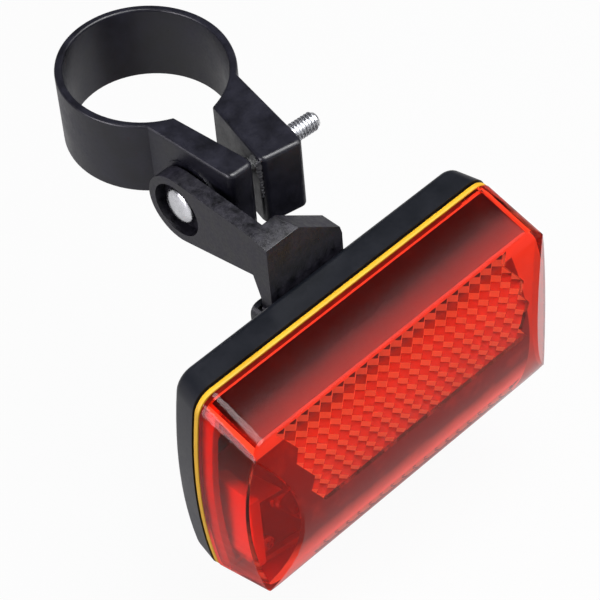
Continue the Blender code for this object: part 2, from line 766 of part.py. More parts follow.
def add_rails(housing):
    """Two hooked rails and the stop below them."""
    inner_left = ARM_OUTER_X - TONGUE_FLANGE - GAP
    inner_right = FOOT_RIGHT_X + TONGUE_FLANGE + GAP
    outer_left = inner_left - RAIL_WALL
    outer_right = inner_right + RAIL_WALL
    rear_y = TONGUE_REAR_Y + GAP + RAIL_LIP
    stop_z = TONGUE_END_Z - GAP - RAIL_STOP_HEIGHT
    shape = [
        (outer_left, stop_z),
        (outer_right, stop_z),
        (outer_right, RAIL_TOP_Z),
        (outer_left, RAIL_TOP_Z),
    ]
    radii = [RAIL_FOOT_CORNER, RAIL_FOOT_CORNER, RAIL_CORNER, RAIL_CORNER]
    outline = rounded(shape, radii, RAIL_CORNER_STEPS)
    block = prism("rail_block", outline, -rear_y, -HOUSING_BACK_Y + GAP, "XZ")
    channel = box(
        "rail_channel",
        (inner_left, -REACH, TONGUE_END_Z - GAP),
        (inner_right, TONGUE_REAR_Y + GAP, REACH),
    )
    slot = box(
        "rail_slot",
        (outer_left + RAIL_LIP_REACH, -REACH, TONGUE_END_Z - GAP),
        (outer_right - RAIL_LIP_REACH, REACH, REACH),
    )
    cut(block, channel)
    cut(block, slot)
    soften(block, RAIL_EDGE, 1, 40.0)
    join(housing, block)


def build_seal(material):
    """Seal with a bead between the rims and a lip inside them."""
    lip_inset = LENS_WALL + GAP
    leg_inset = HOUSING_WALL + 2.0 * GAP
    seal = light_prism("seal", SEAL_END_INSET, SEAL_BACK, SEAL_FRONT, SEAL_SIDE_INSET)
    soften(seal, SEAL_BEAD_EDGE, 2, 60.0)
    lip = draft(light_prism("seal_lip", lip_inset, SEAL_BACK + SEAL_STEP, SEAL_LIP_FRONT), lip_inset)
    leg = light_prism("seal_leg", leg_inset, SEAL_LEG_BACK, SEAL_FRONT - SEAL_STEP)
    join(seal, lip)
    join(seal, leg)
    inner = leg_inset + SEAL_LIP_WALL
    opening = light_prism("seal_opening", inner, -REACH / 2.0, REACH / 2.0)
    cut(seal, draft(opening, inner, 0.0))
    return finish(seal, material, (LIGHT_X, LIGHT_Y, LIGHT_Z))


def lens_body(name, inset, front_inset, low):
    """Lens solid, inset from the outer surface by the given walls."""
    body = draft(light_prism(name, inset, low, LENS_DEPTH + LENS_SPARE), inset)
    radius = BARREL_RADIUS - front_inset
    centre = (LIGHT_Y - BARREL_CENTRE, LIGHT_Z)
    side = arc(centre, radius, 180.0 - BARREL_SWEEP, 180.0 + BARREL_SWEEP, BARREL_STEPS)
    side += [(0.0, -REACH), (0.0, 0.0)]
    keep(body, prism(name + "_barrel", side, -REACH, REACH, "YZ"))
    lean = math.radians(FACET_ANGLE)
    depth = FACET_DEPTH - front_inset / math.cos(lean)
    low_y = LIGHT_Y - depth + (REACH - FACET_LENGTH) * math.tan(lean)
    high_y = LIGHT_Y - depth - FACET_LENGTH * math.tan(lean)
    facets = [
        (LIGHT_X - REACH, REACH),
        (LIGHT_X - REACH, low_y),
        (LIGHT_X, high_y),
        (LIGHT_X + REACH, low_y),
        (LIGHT_X + REACH, REACH),
    ]
    keep(body, prism(name + "_facets", facets, -REACH, REACH, "XY"))
    return body


def reflector(name, top_arc, rows, left_top, left_bottom, right, bulge):
    """Field of corner cubes on the inside of the lens's curved front."""
    middle_depth = LENS_FRONT_WALL + CUBE_HEIGHT + CUBE_ROOT / 2.0
    bm = bmesh.new()
    bmesh.ops.create_grid(bm, x_segments=REFLECTOR_COLUMNS, y_segments=rows, size=1.0)
    for vert in bm.verts:
        column = round((vert.co.x + 1.0) / 2.0 * REFLECTOR_COLUMNS)
        row = round((vert.co.y + 1.0) / 2.0 * rows)
        shift = 0.25 if row % 2 else -0.25
        vert.co.x = (column - REFLECTOR_COLUMNS / 2.0 + shift) * CUBE_PITCH
        vert.co.y = top_arc - (rows - row) * CUBE_ROW
    bmesh.ops.triangulate(bm, faces=bm.faces, quad_method="SHORT_EDGE")
    height = rows * CUBE_ROW
    spare = []
    for face in bm.faces:
        spot = face.calc_center_median()
        down = (top_arc - spot.y) / height
        low = left_top + (left_bottom - left_top) * down
        high = right + bulge * math.sin(math.pi * down)
        if spot.x < low or spot.x > high:
            spare.append(face)
    bmesh.ops.delete(bm, geom=spare, context="FACES")
    front = list(bm.faces)
    made = bmesh.ops.extrude_face_region(bm, geom=front)
    moved = [item for item in made["geom"] if isinstance(item, bmesh.types.BMVert)]
    thickness = CUBE_HEIGHT + CUBE_ROOT + LENS_FRONT_WALL / 2.0
    bmesh.ops.translate(bm, verts=moved, vec=(0.0, 0.0, -thickness))
    level = [face for face in bm.faces if all(abs(v.co.z) < WELD for v in face.verts)]
    bmesh.ops.recalc_face_normals(bm, faces=bm.faces)
    rising = []
    falling = []
    for face in level:
        heights = sorted(v.co.y for v in face.verts)
        (rising if heights[1] - heights[0] < heights[2] - heights[1] else falling).append(face)
    bmesh.ops.poke(bm, faces=rising, offset=CUBE_HEIGHT)
    bmesh.ops.poke(bm, faces=falling, offset=-CUBE_HEIGHT)
    for vert in bm.verts:
        radius = BARREL_RADIUS - middle_depth - vert.co.z
        angle = vert.co.y / BARREL_RADIUS
        depth = BARREL_CENTRE + radius * math.cos(angle)
        vert.co = Vector(
            (LIGHT_X + vert.co.x, LIGHT_Y - depth, LIGHT_Z + radius * math.sin(angle))
        ) * MM
    return add_object(name, bm)


def build_lens(material):
    """Barrel-fronted cover with the reflector moulded inside it."""
    lens = lens_body("lens", 0.0, 0.0, LENS_RIM)
    soften(lens, LENS_EDGE, 4, 22.0)
    cut(lens, lens_body("lens_inside", LENS_WALL, LENS_FRONT_WALL, SEAL_LEG_BACK))
    field = reflector(
        "reflector_field",
        REFLECTOR_TOP_ARC,
        REFLECTOR_ROWS,
        REFLECTOR_LEFT_TOP,
        REFLECTOR_LEFT_BOTTOM,
        REFLECTOR_RIGHT,
        REFLECTOR_RIGHT_BULGE,
    )
    strip = reflector(
        "reflector_strip",
        STRIP_TOP_ARC,
        STRIP_ROWS,
        REFLECTOR_LEFT_BOTTOM,
        REFLECTOR_LEFT_BOTTOM,
        REFLECTOR_RIGHT,
        0.0,
    )
    join(lens, field)
    join(lens, strip)
    return finish(lens, material, (LIGHT_X, LIGHT_Y, LIGHT_Z))


def build_cells(case, steel):
    """Two cells laid side by side, nose to tail, with a spring and a plate each."""
    for number, z, way in ((1, CELL_TOP_Z, 1.0), (2, CELL_BOTTOM_Z, -1.0)):
        middle = LIGHT_X + way * CELL_SHIFT
        half = CELL_LENGTH / 2.0
        profile = [
            (0.0, half),
            (CELL_NUB_RADIUS, half),
            (CELL_NUB_RADIUS, half - CELL_NUB_HEIGHT),
            (CELL_RADIUS - CELL_EDGE, half - CELL_NUB_HEIGHT),
            (CELL_RADIUS, half - CELL_NUB_HEIGHT - CELL_EDGE),
            (CELL_RADIUS, -half + CELL_EDGE),
            (CELL_RADIUS - CELL_EDGE, -half),
            (0.0, -half),
        ]
        cell = revolve("battery_%d" % number, profile, "X", (0.0, 0.0, 0.0), 32)
        if way < 0.0:
            cell.data.transform(Matrix.Rotation(math.pi, 4, "Z"))
        cell.data.transform(Matrix.Translation(Vector((middle, CELL_Y, z)) * MM))
        finish(cell, case, (middle, CELL_Y, z))
        plate_x = LIGHT_X + way * (CELL_BAY_HALF - GAP - PLATE_THICKNESS / 2.0)
        plate = box(
            "contact_plate_%d" % number,
            (plate_x - PLATE_THICKNESS / 2.0, CELL_Y - PLATE_HALF, z - PLATE_HALF),
            (plate_x + PLATE_THICKNESS / 2.0, CELL_Y + PLATE_HALF, z + PLATE_HALF),
        )
        finish(plate, steel, (plate_x, CELL_Y, z))
        build_spring(number, z, way, steel)


def build_spring(number, z, way, steel):
    """Coil contact at a cell's flat end."""
    length = SPRING_LENGTH - 2.0 * SPRING_WIRE
    start = LIGHT_X - way * (CELL_BAY_HALF - GAP - SPRING_WIRE)
    curve = bpy.data.curves.new("spring_%d" % number, "CURVE")
    curve.dimensions = "3D"
    curve.bevel_depth = SPRING_WIRE * MM
    curve.bevel_resolution = 1
    curve.use_fill_caps = True
    spline = curve.splines.new("POLY")
    count = SPRING_TURNS * SPRING_STEPS
    spline.points.add(count)
    for i in range(count + 1):
        angle = 2.0 * math.pi * i / SPRING_STEPS
        x = start + way * length * i / count
        y = CELL_Y + SPRING_RADIUS * math.cos(angle)
        spot = (x * MM, y * MM, (z + SPRING_RADIUS * math.sin(angle)) * MM, 1.0)
        spline.points[i].co = spot
    holder = bpy.data.objects.new("spring_curve_%d" % number, curve)
    PARTS.objects.link(holder)
    mesh = baked(holder)
    bpy.data.objects.remove(holder, do_unlink=True)
    bm = bmesh.new()
    bm.from_mesh(mesh)
    bmesh.ops.remove_doubles(bm, verts=bm.verts, dist=WELD)
    spring = add_object("contact_spring_%d" % number, bm)
    return finish(spring, steel, (start, CELL_Y, z))


def build_tray(material):
    """White moulding: cell bay above, board shelf and end blocks below."""
    left = LIGHT_X - TRAY_HALF_LENGTH
    right = LIGHT_X + TRAY_HALF_LENGTH
    back = HOUSING_FLOOR_Y - GAP
    shelf_front = TRAY_SHELF_Y - TRAY_SHELF
    low_x = LIGHT_X - SHELF_HALF_LENGTH
    high_x = LIGHT_X + SHELF_HALF_LENGTH
    tray = box("battery_tray", (low_x, TRAY_FRONT_Y, TRAY_SPLIT_Z - TRAY_WALL), (high_x, back, TRAY_SPLIT_Z))
    shelf = box(
        "tray_shelf",
        (low_x, shelf_front, TRAY_BOTTOM_Z),
        (high_x, TRAY_SHELF_Y, TRAY_SPLIT_Z - TRAY_WALL / 2.0),
    )
    window = box(
        "tray_window",
        (SCREW_X[0] + TRAY_WINDOW_MARGIN, -REACH, TRAY_BOTTOM_Z + TRAY_WINDOW_MARGIN),
        (SCREW_X[1] - POST_RADIUS - GAP, back, TRAY_SPLIT_Z - TRAY_WALL - TRAY_WINDOW_MARGIN / 2.0),
    )
    cut(shelf, window)
    join(tray, shelf)
    for label, x in (("left", left), ("right", right - TRAY_BLOCK)):
        block = box(
            "tray_block_" + label,
            (x, TRAY_BLOCK_FRONT_Y, TRAY_BLOCK_BOTTOM_Z),
            (x + TRAY_BLOCK, TRAY_SHELF_Y - TRAY_SHELF / 2.0, TRAY_BLOCK_TOP_Z),
        )
        soften(block, TRAY_BLOCK_EDGE, 2)
        join(tray, block)
    for label, way in (("left", -1.0), ("right", 1.0)):
        near = LIGHT_X + way * CELL_BAY_HALF
        far = near + way * TRAY_WALL
        wall = box(
            "tray_end_" + label,
            (min(near, far), TRAY_FRONT_Y, TRAY_SPLIT_Z - TRAY_WALL / 2.0),
            (max(near, far), back, TRAY_TOP_Z),
        )
        join(tray, wall)
    rib_z = (CELL_TOP_Z + CELL_BOTTOM_Z) / 2.0
    rib = box(
        "tray_rib",
        (LIGHT_X - CELL_BAY_HALF - TRAY_WALL / 2.0, TRAY_RIB_Y, rib_z - TRAY_RIB_HALF),
        (LIGHT_X + CELL_BAY_HALF + TRAY_WALL / 2.0, back, rib_z + TRAY_RIB_HALF),
    )
    join(tray, rib)
    for number, x in enumerate(SCREW_X, 1):
        spot = (x, SCREW_Z)
        post = cylinder("tray_post_%d" % number, "Y", spot, POST_RADIUS, TRAY_SHELF_Y - TRAY_SHELF / 2.0, back)
        join(tray, post)
        end = BOARD_FRONT_Y + SCREW_LENGTH
        cut(tray, cylinder("tray_post_hole_%d" % number, "Y", spot, SCREW_RADIUS + SCREW_GAP, -REACH, end))
    return finish(tray, material, (LIGHT_X, back, LIGHT_Z))


def build_board(green, chip_black, led_clear, steel):
    """Circuit board with LEDs in front and the switch and chips behind."""
    left = LIGHT_X - TRAY_HALF_LENGTH + TRAY_BLOCK + GAP
    right = LIGHT_X + TRAY_HALF_LENGTH - TRAY_BLOCK - GAP
    top = TRAY_SPLIT_Z - TRAY_WALL - GAP
    board = box("circuit_board", (left, BOARD_FRONT_Y, TRAY_BOTTOM_Z), (right, BOARD_BACK_Y, top))
    for number, x in enumerate(SCREW_X, 1):
        hole = cylinder("board_hole_%d" % number, "Y", (x, SCREW_Z), SCREW_RADIUS + GAP, -REACH, 0.0)
        cut(board, hole)
    finish(board, green, (LIGHT_X, BOARD_BACK_Y, LIGHT_Z))
    seat = BOARD_FRONT_Y - GAP
    for number in range(1, LED_COUNT + 1):
        x = LIGHT_X + (number - (LED_COUNT + 1) / 2.0) * LED_PITCH
        profile = [(0.0, 0.0), (LED_FLANGE_RADIUS, 0.0), (LED_FLANGE_RADIUS, -LED_FLANGE)]
        shoulder = LED_HEIGHT - LED_RADIUS
        profile.append((LED_RADIUS, -LED_FLANGE))
        for step in range(LED_STEPS + 1):
            angle = math.pi / 2.0 * step / LED_STEPS
            radius = LED_RADIUS * math.cos(angle)
            profile.append((max(radius, 0.0), -shoulder - LED_RADIUS * math.sin(angle)))
        profile[-1] = (0.0, -LED_HEIGHT)
        led = revolve("led_%d" % number, profile, "Y", (x, seat, LED_Z), 24)
        finish(led, led_clear, (x, seat, LED_Z))
    rear = BOARD_BACK_Y + GAP
    body = box(
        "tactile_switch",
        (BUTTON_X - SWITCH_HALF, rear, BUTTON_Z - SWITCH_HALF),
        (BUTTON_X + SWITCH_HALF, rear + SWITCH_HEIGHT, BUTTON_Z + SWITCH_HALF),
    )
    stem = cylinder(
        "switch_stem",
        "Y",
        (BUTTON_X, BUTTON_Z),
        SWITCH_STEM_RADIUS,
        rear + SWITCH_HEIGHT / 2.0,
        rear + SWITCH_HEIGHT + SWITCH_STEM,
        24,
    )
    join(body, stem)
    finish(body, chip_black, (BUTTON_X, rear, BUTTON_Z))
    half = [side / 2.0 for side in CHIP_SIZE]
    chip = box(
        "controller_chip",
        (CHIP_X - half[0], rear, CHIP_Z - half[2]),
        (CHIP_X + half[0], rear + CHIP_SIZE[1], CHIP_Z + half[2]),
    )
    soften(chip, CHIP_EDGE, 1)
    finish(chip, chip_black, (CHIP_X, rear, CHIP_Z))
    for number, x in enumerate(RESISTOR_X, 1):
        part = box(
            "resistor_%d" % number,
            (x - RESISTOR_SIZE[0] / 2.0, rear, CHIP_Z - RESISTOR_SIZE[2] / 2.0),
            (x + RESISTOR_SIZE[0] / 2.0, rear + RESISTOR_SIZE[1], CHIP_Z + RESISTOR_SIZE[2] / 2.0),
        )
        soften(part, CHIP_EDGE, 1)
        finish(part, chip_black, (x, rear, CHIP_Z))
    for number, x in enumerate(SCREW_X, 1):
        profile = [
            (0.0, SCREW_LENGTH),
            (SCREW_RADIUS, SCREW_LENGTH - SCREW_TIP),
            (SCREW_RADIUS, 0.0),
            (SCREW_HEAD_RADIUS, 0.0),
            (SCREW_HEAD_RADIUS, -SCREW_HEAD_HEIGHT * SCREW_DOME_SHARE),
            (SCREW_HEAD_RADIUS * SCREW_DOME_SHARE, -SCREW_HEAD_HEIGHT),
            (0.0, -SCREW_HEAD_HEIGHT),
        ]
        screw = revolve("board_screw_%d" % number, profile, "Y", (x, seat, SCREW_Z), 20)
        finish(screw, steel, (x, seat, SCREW_Z))


def build_button(material):
    """Button through the housing's back, held by its flange."""
    outer = HOUSING_BACK_Y + BUTTON_PROUD
    flange = HOUSING_FLOOR_Y - GAP
    stem_end = BOARD_BACK_Y + SWITCH_HEIGHT + SWITCH_STEM + BUTTON_TRAVEL + 1.5 * GAP
    profile = [
        (0.0, outer),
        (BUTTON_RADIUS - BUTTON_EDGE, outer),
        (BUTTON_RADIUS, outer - BUTTON_EDGE),
        (BUTTON_RADIUS, flange),
        (BUTTON_FLANGE_RADIUS, flange),
        (BUTTON_FLANGE_RADIUS, flange - BUTTON_FLANGE),
        (BUTTON_STEM_RADIUS, flange - BUTTON_FLANGE),
        (BUTTON_STEM_RADIUS, stem_end),
        (0.0, stem_end),
    ]
    button = revolve("push_button", profile, "Y", (BUTTON_X, 0.0, BUTTON_Z), 32)
    return finish(button, material, (BUTTON_X, HOUSING_BACK_Y, BUTTON_Z))


def build_all():
    plastic = make_material("black_plastic", (0.022, 0.022, 0.028), 0.55)
    shell = make_material("housing_plastic", (0.025, 0.028, 0.035), 0.45)
    zinc = make_material("bright_zinc", (0.75, 0.76, 0.78), 0.22, 1.0)
    yellow = make_material("yellow_rubber", (0.9, 0.55, 0.03), 0.5)
    red = make_material("red_lens", (0.75, 0.02, 0.03), 0.08, 0.0, 0.7)
    white = make_material("white_plastic", (0.8, 0.78, 0.75), 0.45)
    green = make_material("circuit_board_lacquer", (0.01, 0.06, 0.03), 0.4)
    chip = make_material("chip_plastic", (0.02, 0.02, 0.02), 0.5)
    clear = make_material("clear_resin", (0.8, 0.8, 0.8), 0.1, 0.0, 0.5)
    sleeve = make_material("cell_sleeve", (0.05, 0.05, 0.06), 0.35)
    nickel = make_material("nickel_plate", (0.7, 0.68, 0.64), 0.3, 1.0)
    rubber = make_material("button_rubber", (0.03, 0.03, 0.03), 0.7)
    build_clamp_band(plastic)
    build_bolt(zinc)
    build_nut(zinc)
    build_arm(plastic)
    build_housing(shell)
    build_seal(yellow)
    build_lens(red)
    build_tray(white)
    build_cells(sleeve, nickel)
    build_board(green, chip, clear, nickel)
    build_button(rubber)


build_all()
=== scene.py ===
"""Looks of a bicycle rear light with its seat post clamp."""

import logging
import math
from dataclasses import dataclass, field
from enum import Enum

import bmesh
import bpy
from mathutils import Matrix, Vector


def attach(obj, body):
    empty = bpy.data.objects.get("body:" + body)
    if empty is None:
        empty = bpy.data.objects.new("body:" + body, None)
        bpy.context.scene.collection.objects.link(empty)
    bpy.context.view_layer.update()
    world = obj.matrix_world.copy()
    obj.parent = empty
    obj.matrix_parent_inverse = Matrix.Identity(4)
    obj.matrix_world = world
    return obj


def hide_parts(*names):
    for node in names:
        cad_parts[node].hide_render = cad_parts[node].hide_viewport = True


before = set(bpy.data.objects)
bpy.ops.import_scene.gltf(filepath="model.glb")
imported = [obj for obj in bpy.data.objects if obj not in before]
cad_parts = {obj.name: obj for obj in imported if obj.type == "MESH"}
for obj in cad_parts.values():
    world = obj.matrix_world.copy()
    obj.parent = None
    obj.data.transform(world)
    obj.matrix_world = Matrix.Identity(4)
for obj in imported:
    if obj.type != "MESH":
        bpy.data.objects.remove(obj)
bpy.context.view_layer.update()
LOG = logging.getLogger("rear_light")

Color = tuple[float, float, float]
Place = tuple[float, float, float]

# Lengths are in metres, and FLAT_WITHIN is in degrees.
MM = 0.001
WELD_DISTANCE = 0.000001
CUT_SLACK = 1e-7
FLAT_WITHIN = 0.2
GRAIN_SCALE = 1500.0
BLOTCH_SCALE = 90.0
GRAIN_DETAIL = 3.0
BLOTCH_DETAIL = 4.0
BLOTCH_ROUGHNESS = 0.6
GRAIN_IN_GLOSS = 0.35
NOISE_MIDDLE = 0.5


class Body(Enum):
    """Moving bodies of the part."""

    BAND = "band"
    BOLT = "bolt"
    ARM = "arm"
    LIGHT = "light"
    COVER = "cover"
    BUTTON = "button"


# Node helpers


def add_node(tree: bpy.types.NodeTree, kind: str, **settings: object) -> bpy.types.Node:
    """Add a node and set its properties.

    Args:
        tree: Node tree that gets the node.
        kind: Blender's node type.
        settings: Property names and values.

    Returns:
        The new node.
    """
    node = tree.nodes.new(kind)
    for name, value in settings.items():
        setattr(node, name, value)
    return node


def grain_group() -> bpy.types.NodeTree:
    """Build the moulded plastic group: two scales of noise for colour, gloss and height.

    Returns:
        A shader node group with the inputs Scale and Blotch and the outputs Height,
        Shade and Gloss.
    """
    tree = bpy.data.node_groups.new("moulded_grain", "ShaderNodeTree")
    for name, value in (("Scale", GRAIN_SCALE), ("Blotch", BLOTCH_SCALE)):
        socket = tree.interface.new_socket(name, in_out="INPUT", socket_type="NodeSocketFloat")
        socket.default_value = value
    for name in ("Height", "Shade", "Gloss"):
        tree.interface.new_socket(name, in_out="OUTPUT", socket_type="NodeSocketFloat")
    start = add_node(tree, "NodeGroupInput")
    end = add_node(tree, "NodeGroupOutput")
    place = add_node(tree, "ShaderNodeTexCoord")
    fine = add_node(tree, "ShaderNodeTexNoise")
    fine.inputs["Detail"].default_value = GRAIN_DETAIL
    broad = add_node(tree, "ShaderNodeTexNoise")
    broad.inputs["Detail"].default_value = BLOTCH_DETAIL
    broad.inputs["Roughness"].default_value = BLOTCH_ROUGHNESS
    tree.links.new(place.outputs["Object"], fine.inputs["Vector"])
    tree.links.new(place.outputs["Object"], broad.inputs["Vector"])
    tree.links.new(start.outputs["Scale"], fine.inputs["Scale"])
    tree.links.new(start.outputs["Blotch"], broad.inputs["Scale"])
    tree.links.new(fine.outputs["Fac"], end.inputs["Height"])
    tree.links.new(broad.outputs["Fac"], end.inputs["Shade"])
    mixed = add_node(tree, "ShaderNodeMix", data_type="FLOAT")
    mixed.inputs["Factor"].default_value = GRAIN_IN_GLOSS
    tree.links.new(broad.outputs["Fac"], mixed.inputs["A"])
    tree.links.new(fine.outputs["Fac"], mixed.inputs["B"])
    tree.links.new(mixed.outputs["Result"], end.inputs["Gloss"])
    return tree


GRAIN = grain_group()


def plain_material(name: str) -> tuple[bpy.types.Material, bpy.types.NodeTree, bpy.types.Node]:
    """Start a material.

    Args:
        name: Name of the material.

    Returns:
        The material, its node tree and its Principled BSDF.
    """
    material = bpy.data.materials.new(name)
    material.use_nodes = True
    return material, material.node_tree, material.node_tree.nodes["Principled BSDF"]


def grain_node(tree: bpy.types.NodeTree, grain: float, blotch: float) -> bpy.types.Node:
    """Place the moulded plastic group.

    Args:
        tree: Node tree that gets it.
        grain: Scale of the fine grain.
        blotch: Scale of the broad variation.

    Returns:
        The group node.
    """
    group = add_node(tree, "ShaderNodeGroup", node_tree=GRAIN)
    group.inputs["Scale"].default_value = grain
    group.inputs["Blotch"].default_value = blotch
    return group


def color_ramp(
    tree: bpy.types.NodeTree, low: Color, high: Color, span: tuple[float, float] = (0.0, 1.0)
) -> bpy.types.Node:
    """Add a ramp between two colours.

    Args:
        tree: Node tree that gets it.
        low: First colour.
        high: Last colour.
        span: Positions of the two colours.

    Returns:
        The ramp node.
    """
    ramp = add_node(tree, "ShaderNodeValToRGB")
    for element, position, color in zip(ramp.color_ramp.elements, span, (low, high)):
        element.position = position
        element.color = (*color, 1.0)
    return ramp


@dataclass(frozen=True)
class Finish:
    """A moulded or plated surface with grain, blotches and a range of gloss.

    Attributes:
        name: Material name.
        dark: Colour where the surface is darkest.
        light: Colour where it is lightest.
        gloss: Lowest and highest roughness.
        metallic: Metallic value.
        grain: Scale of the fine grain.
        blotch: Scale of the broad variation.
        bump: Depth of the grain in metres.
        span: Lowest and highest noise value that the colours and the gloss spread over.
    """

    name: str
    dark: Color
    light: Color
    gloss: tuple[float, float]
    metallic: float = 0.0
    grain: float = GRAIN_SCALE
    blotch: float = BLOTCH_SCALE
    bump: float = 0.00002
    span: tuple[float, float] = (0.3, 0.7)

    def material(self) -> bpy.types.Material:
        """Build the material.

        Returns:
            A material that reads Object coordinates.
        """
        material, tree, shader = plain_material(self.name)
        shader.inputs["Metallic"].default_value = self.metallic
        group = grain_node(tree, self.grain, self.blotch)
        ramp = color_ramp(tree, self.dark, self.light, self.span)
        tree.links.new(group.outputs["Shade"], ramp.inputs["Fac"])
        tree.links.new(ramp.outputs["Color"], shader.inputs["Base Color"])
        rough = add_node(tree, "ShaderNodeMapRange")
        rough.inputs["From Min"].default_value = self.span[0]
        rough.inputs["From Max"].default_value = self.span[1]
        rough.inputs["To Min"].default_value = self.gloss[0]
        rough.inputs["To Max"].default_value = self.gloss[1]
        tree.links.new(group.outputs["Gloss"], rough.inputs["Value"])
        tree.links.new(rough.outputs["Result"], shader.inputs["Roughness"])
        bump = add_node(tree, "ShaderNodeBump")
        bump.inputs["Distance"].default_value = self.bump
        tree.links.new(group.outputs["Height"], bump.inputs["Height"])
        tree.links.new(bump.outputs["Normal"], shader.inputs["Normal"])
        return material


@dataclass(frozen=True)
class ClearPlastic:
    """A clear coloured moulding that lets the lamps light what is behind it.

    Attributes:
        name: Material name.
        tint: Colour of the plastic where it is thickest.
        pale: Colour of its faint streaks.
        glow: Colour of the light that it lets through.
        roughness: Roughness of the polished surface.
        ior: Index of refraction.
        transmission: Transmission weight.
        grain: Scale of the fine streaks.
        blotch: Scale of the broad streaks.
        span: Lowest and highest noise value that the two colours spread over.
    """

    name: str
    tint: Color
    pale: Color
    glow: Color = (1.0, 1.0, 1.0)
    roughness: float = 0.03
    ior: float = 1.49
    transmission: float = 1.0
    grain: float = 400.0
    blotch: float = 40.0
    span: tuple[float, float] = (0.35, 0.7)

    def material(self) -> bpy.types.Material:
        """Build the material.

        Returns:
            A refracting material with slight streaks in its colour.
        """
        material, tree, shader = plain_material(self.name)
        shader.inputs["Transmission Weight"].default_value = self.transmission
        shader.inputs["IOR"].default_value = self.ior
        shader.inputs["Roughness"].default_value = self.roughness
        group = grain_node(tree, self.grain, self.blotch)
        ramp = color_ramp(tree, self.tint, self.pale, self.span)
        tree.links.new(group.outputs["Shade"], ramp.inputs["Fac"])
        tree.links.new(ramp.outputs["Color"], shader.inputs["Base Color"])
        path = add_node(tree, "ShaderNodeLightPath")
        through = add_node(tree, "ShaderNodeBsdfTransparent")
        through.inputs["Color"].default_value = (*self.glow, 1.0)
        mix = add_node(tree, "ShaderNodeMixShader")
        tree.links.new(path.outputs["Is Shadow Ray"], mix.inputs["Fac"])
        tree.links.new(shader.outputs["BSDF"], mix.inputs[1])
        tree.links.new(through.outputs["BSDF"], mix.inputs[2])
        tree.links.new(mix.outputs["Shader"], tree.nodes["Material Output"].inputs["Surface"])
        return material


@dataclass(frozen=True)
class PaintedLensLight:
    """An inner face of the red lens painted with light and shade: its colour changes with height, and it
    has a painted glow.

    Attributes:
        name: Material name.
        low: Height of the lower colour in metres.
        high: Height of the upper colour in metres.
        low_color: Colour at the lower height.
        high_color: Colour at the upper height.
        roughness: Roughness.
        glow: Emission strength of its colour, a painted glow in place of the light that the corner cubes
            throw back.
        clouds: How far blotches shift the colour between its two ends.
        ior: Index of refraction, which sets how much the surface mirrors.
        grain: Scale of the fine unevenness.
        blotch: Scale of the blotches.
    """

    name: str
    low: float
    high: float
    low_color: Color
    high_color: Color
    roughness: float = 0.5
    glow: float = 0.0
    clouds: float = 0.5
    ior: float = 1.5
    grain: float = 700.0
    blotch: float = 160.0

    def material(self) -> bpy.types.Material:
        """Build the material.

        Returns:
            A material that reads the height from Object coordinates.
        """
        material, tree, shader = plain_material(self.name)
        shader.inputs["IOR"].default_value = self.ior
        shader.inputs["Roughness"].default_value = self.roughness
        # Painted glow: the face emits its own colour though it is no lamp.
        shader.inputs["Emission Strength"].default_value = self.glow
        place = add_node(tree, "ShaderNodeTexCoord")
        split = add_node(tree, "ShaderNodeSeparateXYZ")
        tree.links.new(place.outputs["Object"], split.inputs["Vector"])
        height = add_node(tree, "ShaderNodeMapRange")
        height.inputs["From Min"].default_value = self.low
        height.inputs["From Max"].default_value = self.high
        tree.links.new(split.outputs["Z"], height.inputs["Value"])
        group = grain_node(tree, self.grain, self.blotch)
        uneven = add_node(tree, "ShaderNodeMath", operation="MULTIPLY_ADD")
        uneven.inputs[1].default_value = self.clouds
        uneven.inputs[2].default_value = -NOISE_MIDDLE * self.clouds
        tree.links.new(group.outputs["Shade"], uneven.inputs[0])
        total = add_node(tree, "ShaderNodeMath", operation="ADD")
        tree.links.new(height.outputs["Result"], total.inputs[0])
        tree.links.new(uneven.outputs[0], total.inputs[1])
        # The ramp paints light and shade onto the face by height.
        ramp = color_ramp(tree, self.low_color, self.high_color)
        tree.links.new(total.outputs[0], ramp.inputs["Fac"])
        tree.links.new(ramp.outputs["Color"], shader.inputs["Base Color"])
        tree.links.new(ramp.outputs["Color"], shader.inputs["Emission Color"])
        return material


# Mesh helpers


def link_mesh(name: str, mesh: bpy.types.Mesh) -> bpy.types.Object:
    """Put a mesh in the scene at the origin.

    Args:
        name: Name of the object.
        mesh: Its mesh.

    Returns:
        The new object.
    """
    piece = bpy.data.objects.new(name, mesh)
    bpy.context.scene.collection.objects.link(piece)
    return piece


def evaluated_copy(source: bpy.types.Object, name: str) -> bpy.types.Object:
    """Turn an object with modifiers into a plain mesh object.

    Args:
        source: Object whose modifiers are applied. It is removed.
        name: Name of the new piece.

    Returns:
        The new object at the origin.
    """
    bpy.context.view_layer.update()
    graph = bpy.context.evaluated_depsgraph_get()
    mesh = bpy.data.meshes.new_from_object(source.evaluated_get(graph))
    bpy.data.objects.remove(source, do_unlink=True)
    mesh.name = name
    return link_mesh(name, mesh)


def cut_faces(bm: bmesh.types.BMesh, spot: Vector, way: Vector) -> None:
    """Divide the faces along a plane without a change of shape.

    Args:
        bm: Mesh that is divided.
        spot: A point of the plane.
        way: Its direction.
    """
    parts = list(bm.verts) + list(bm.edges) + list(bm.faces)
    bmesh.ops.bisect_plane(bm, geom=parts, dist=CUT_SLACK, plane_co=spot, plane_no=way)


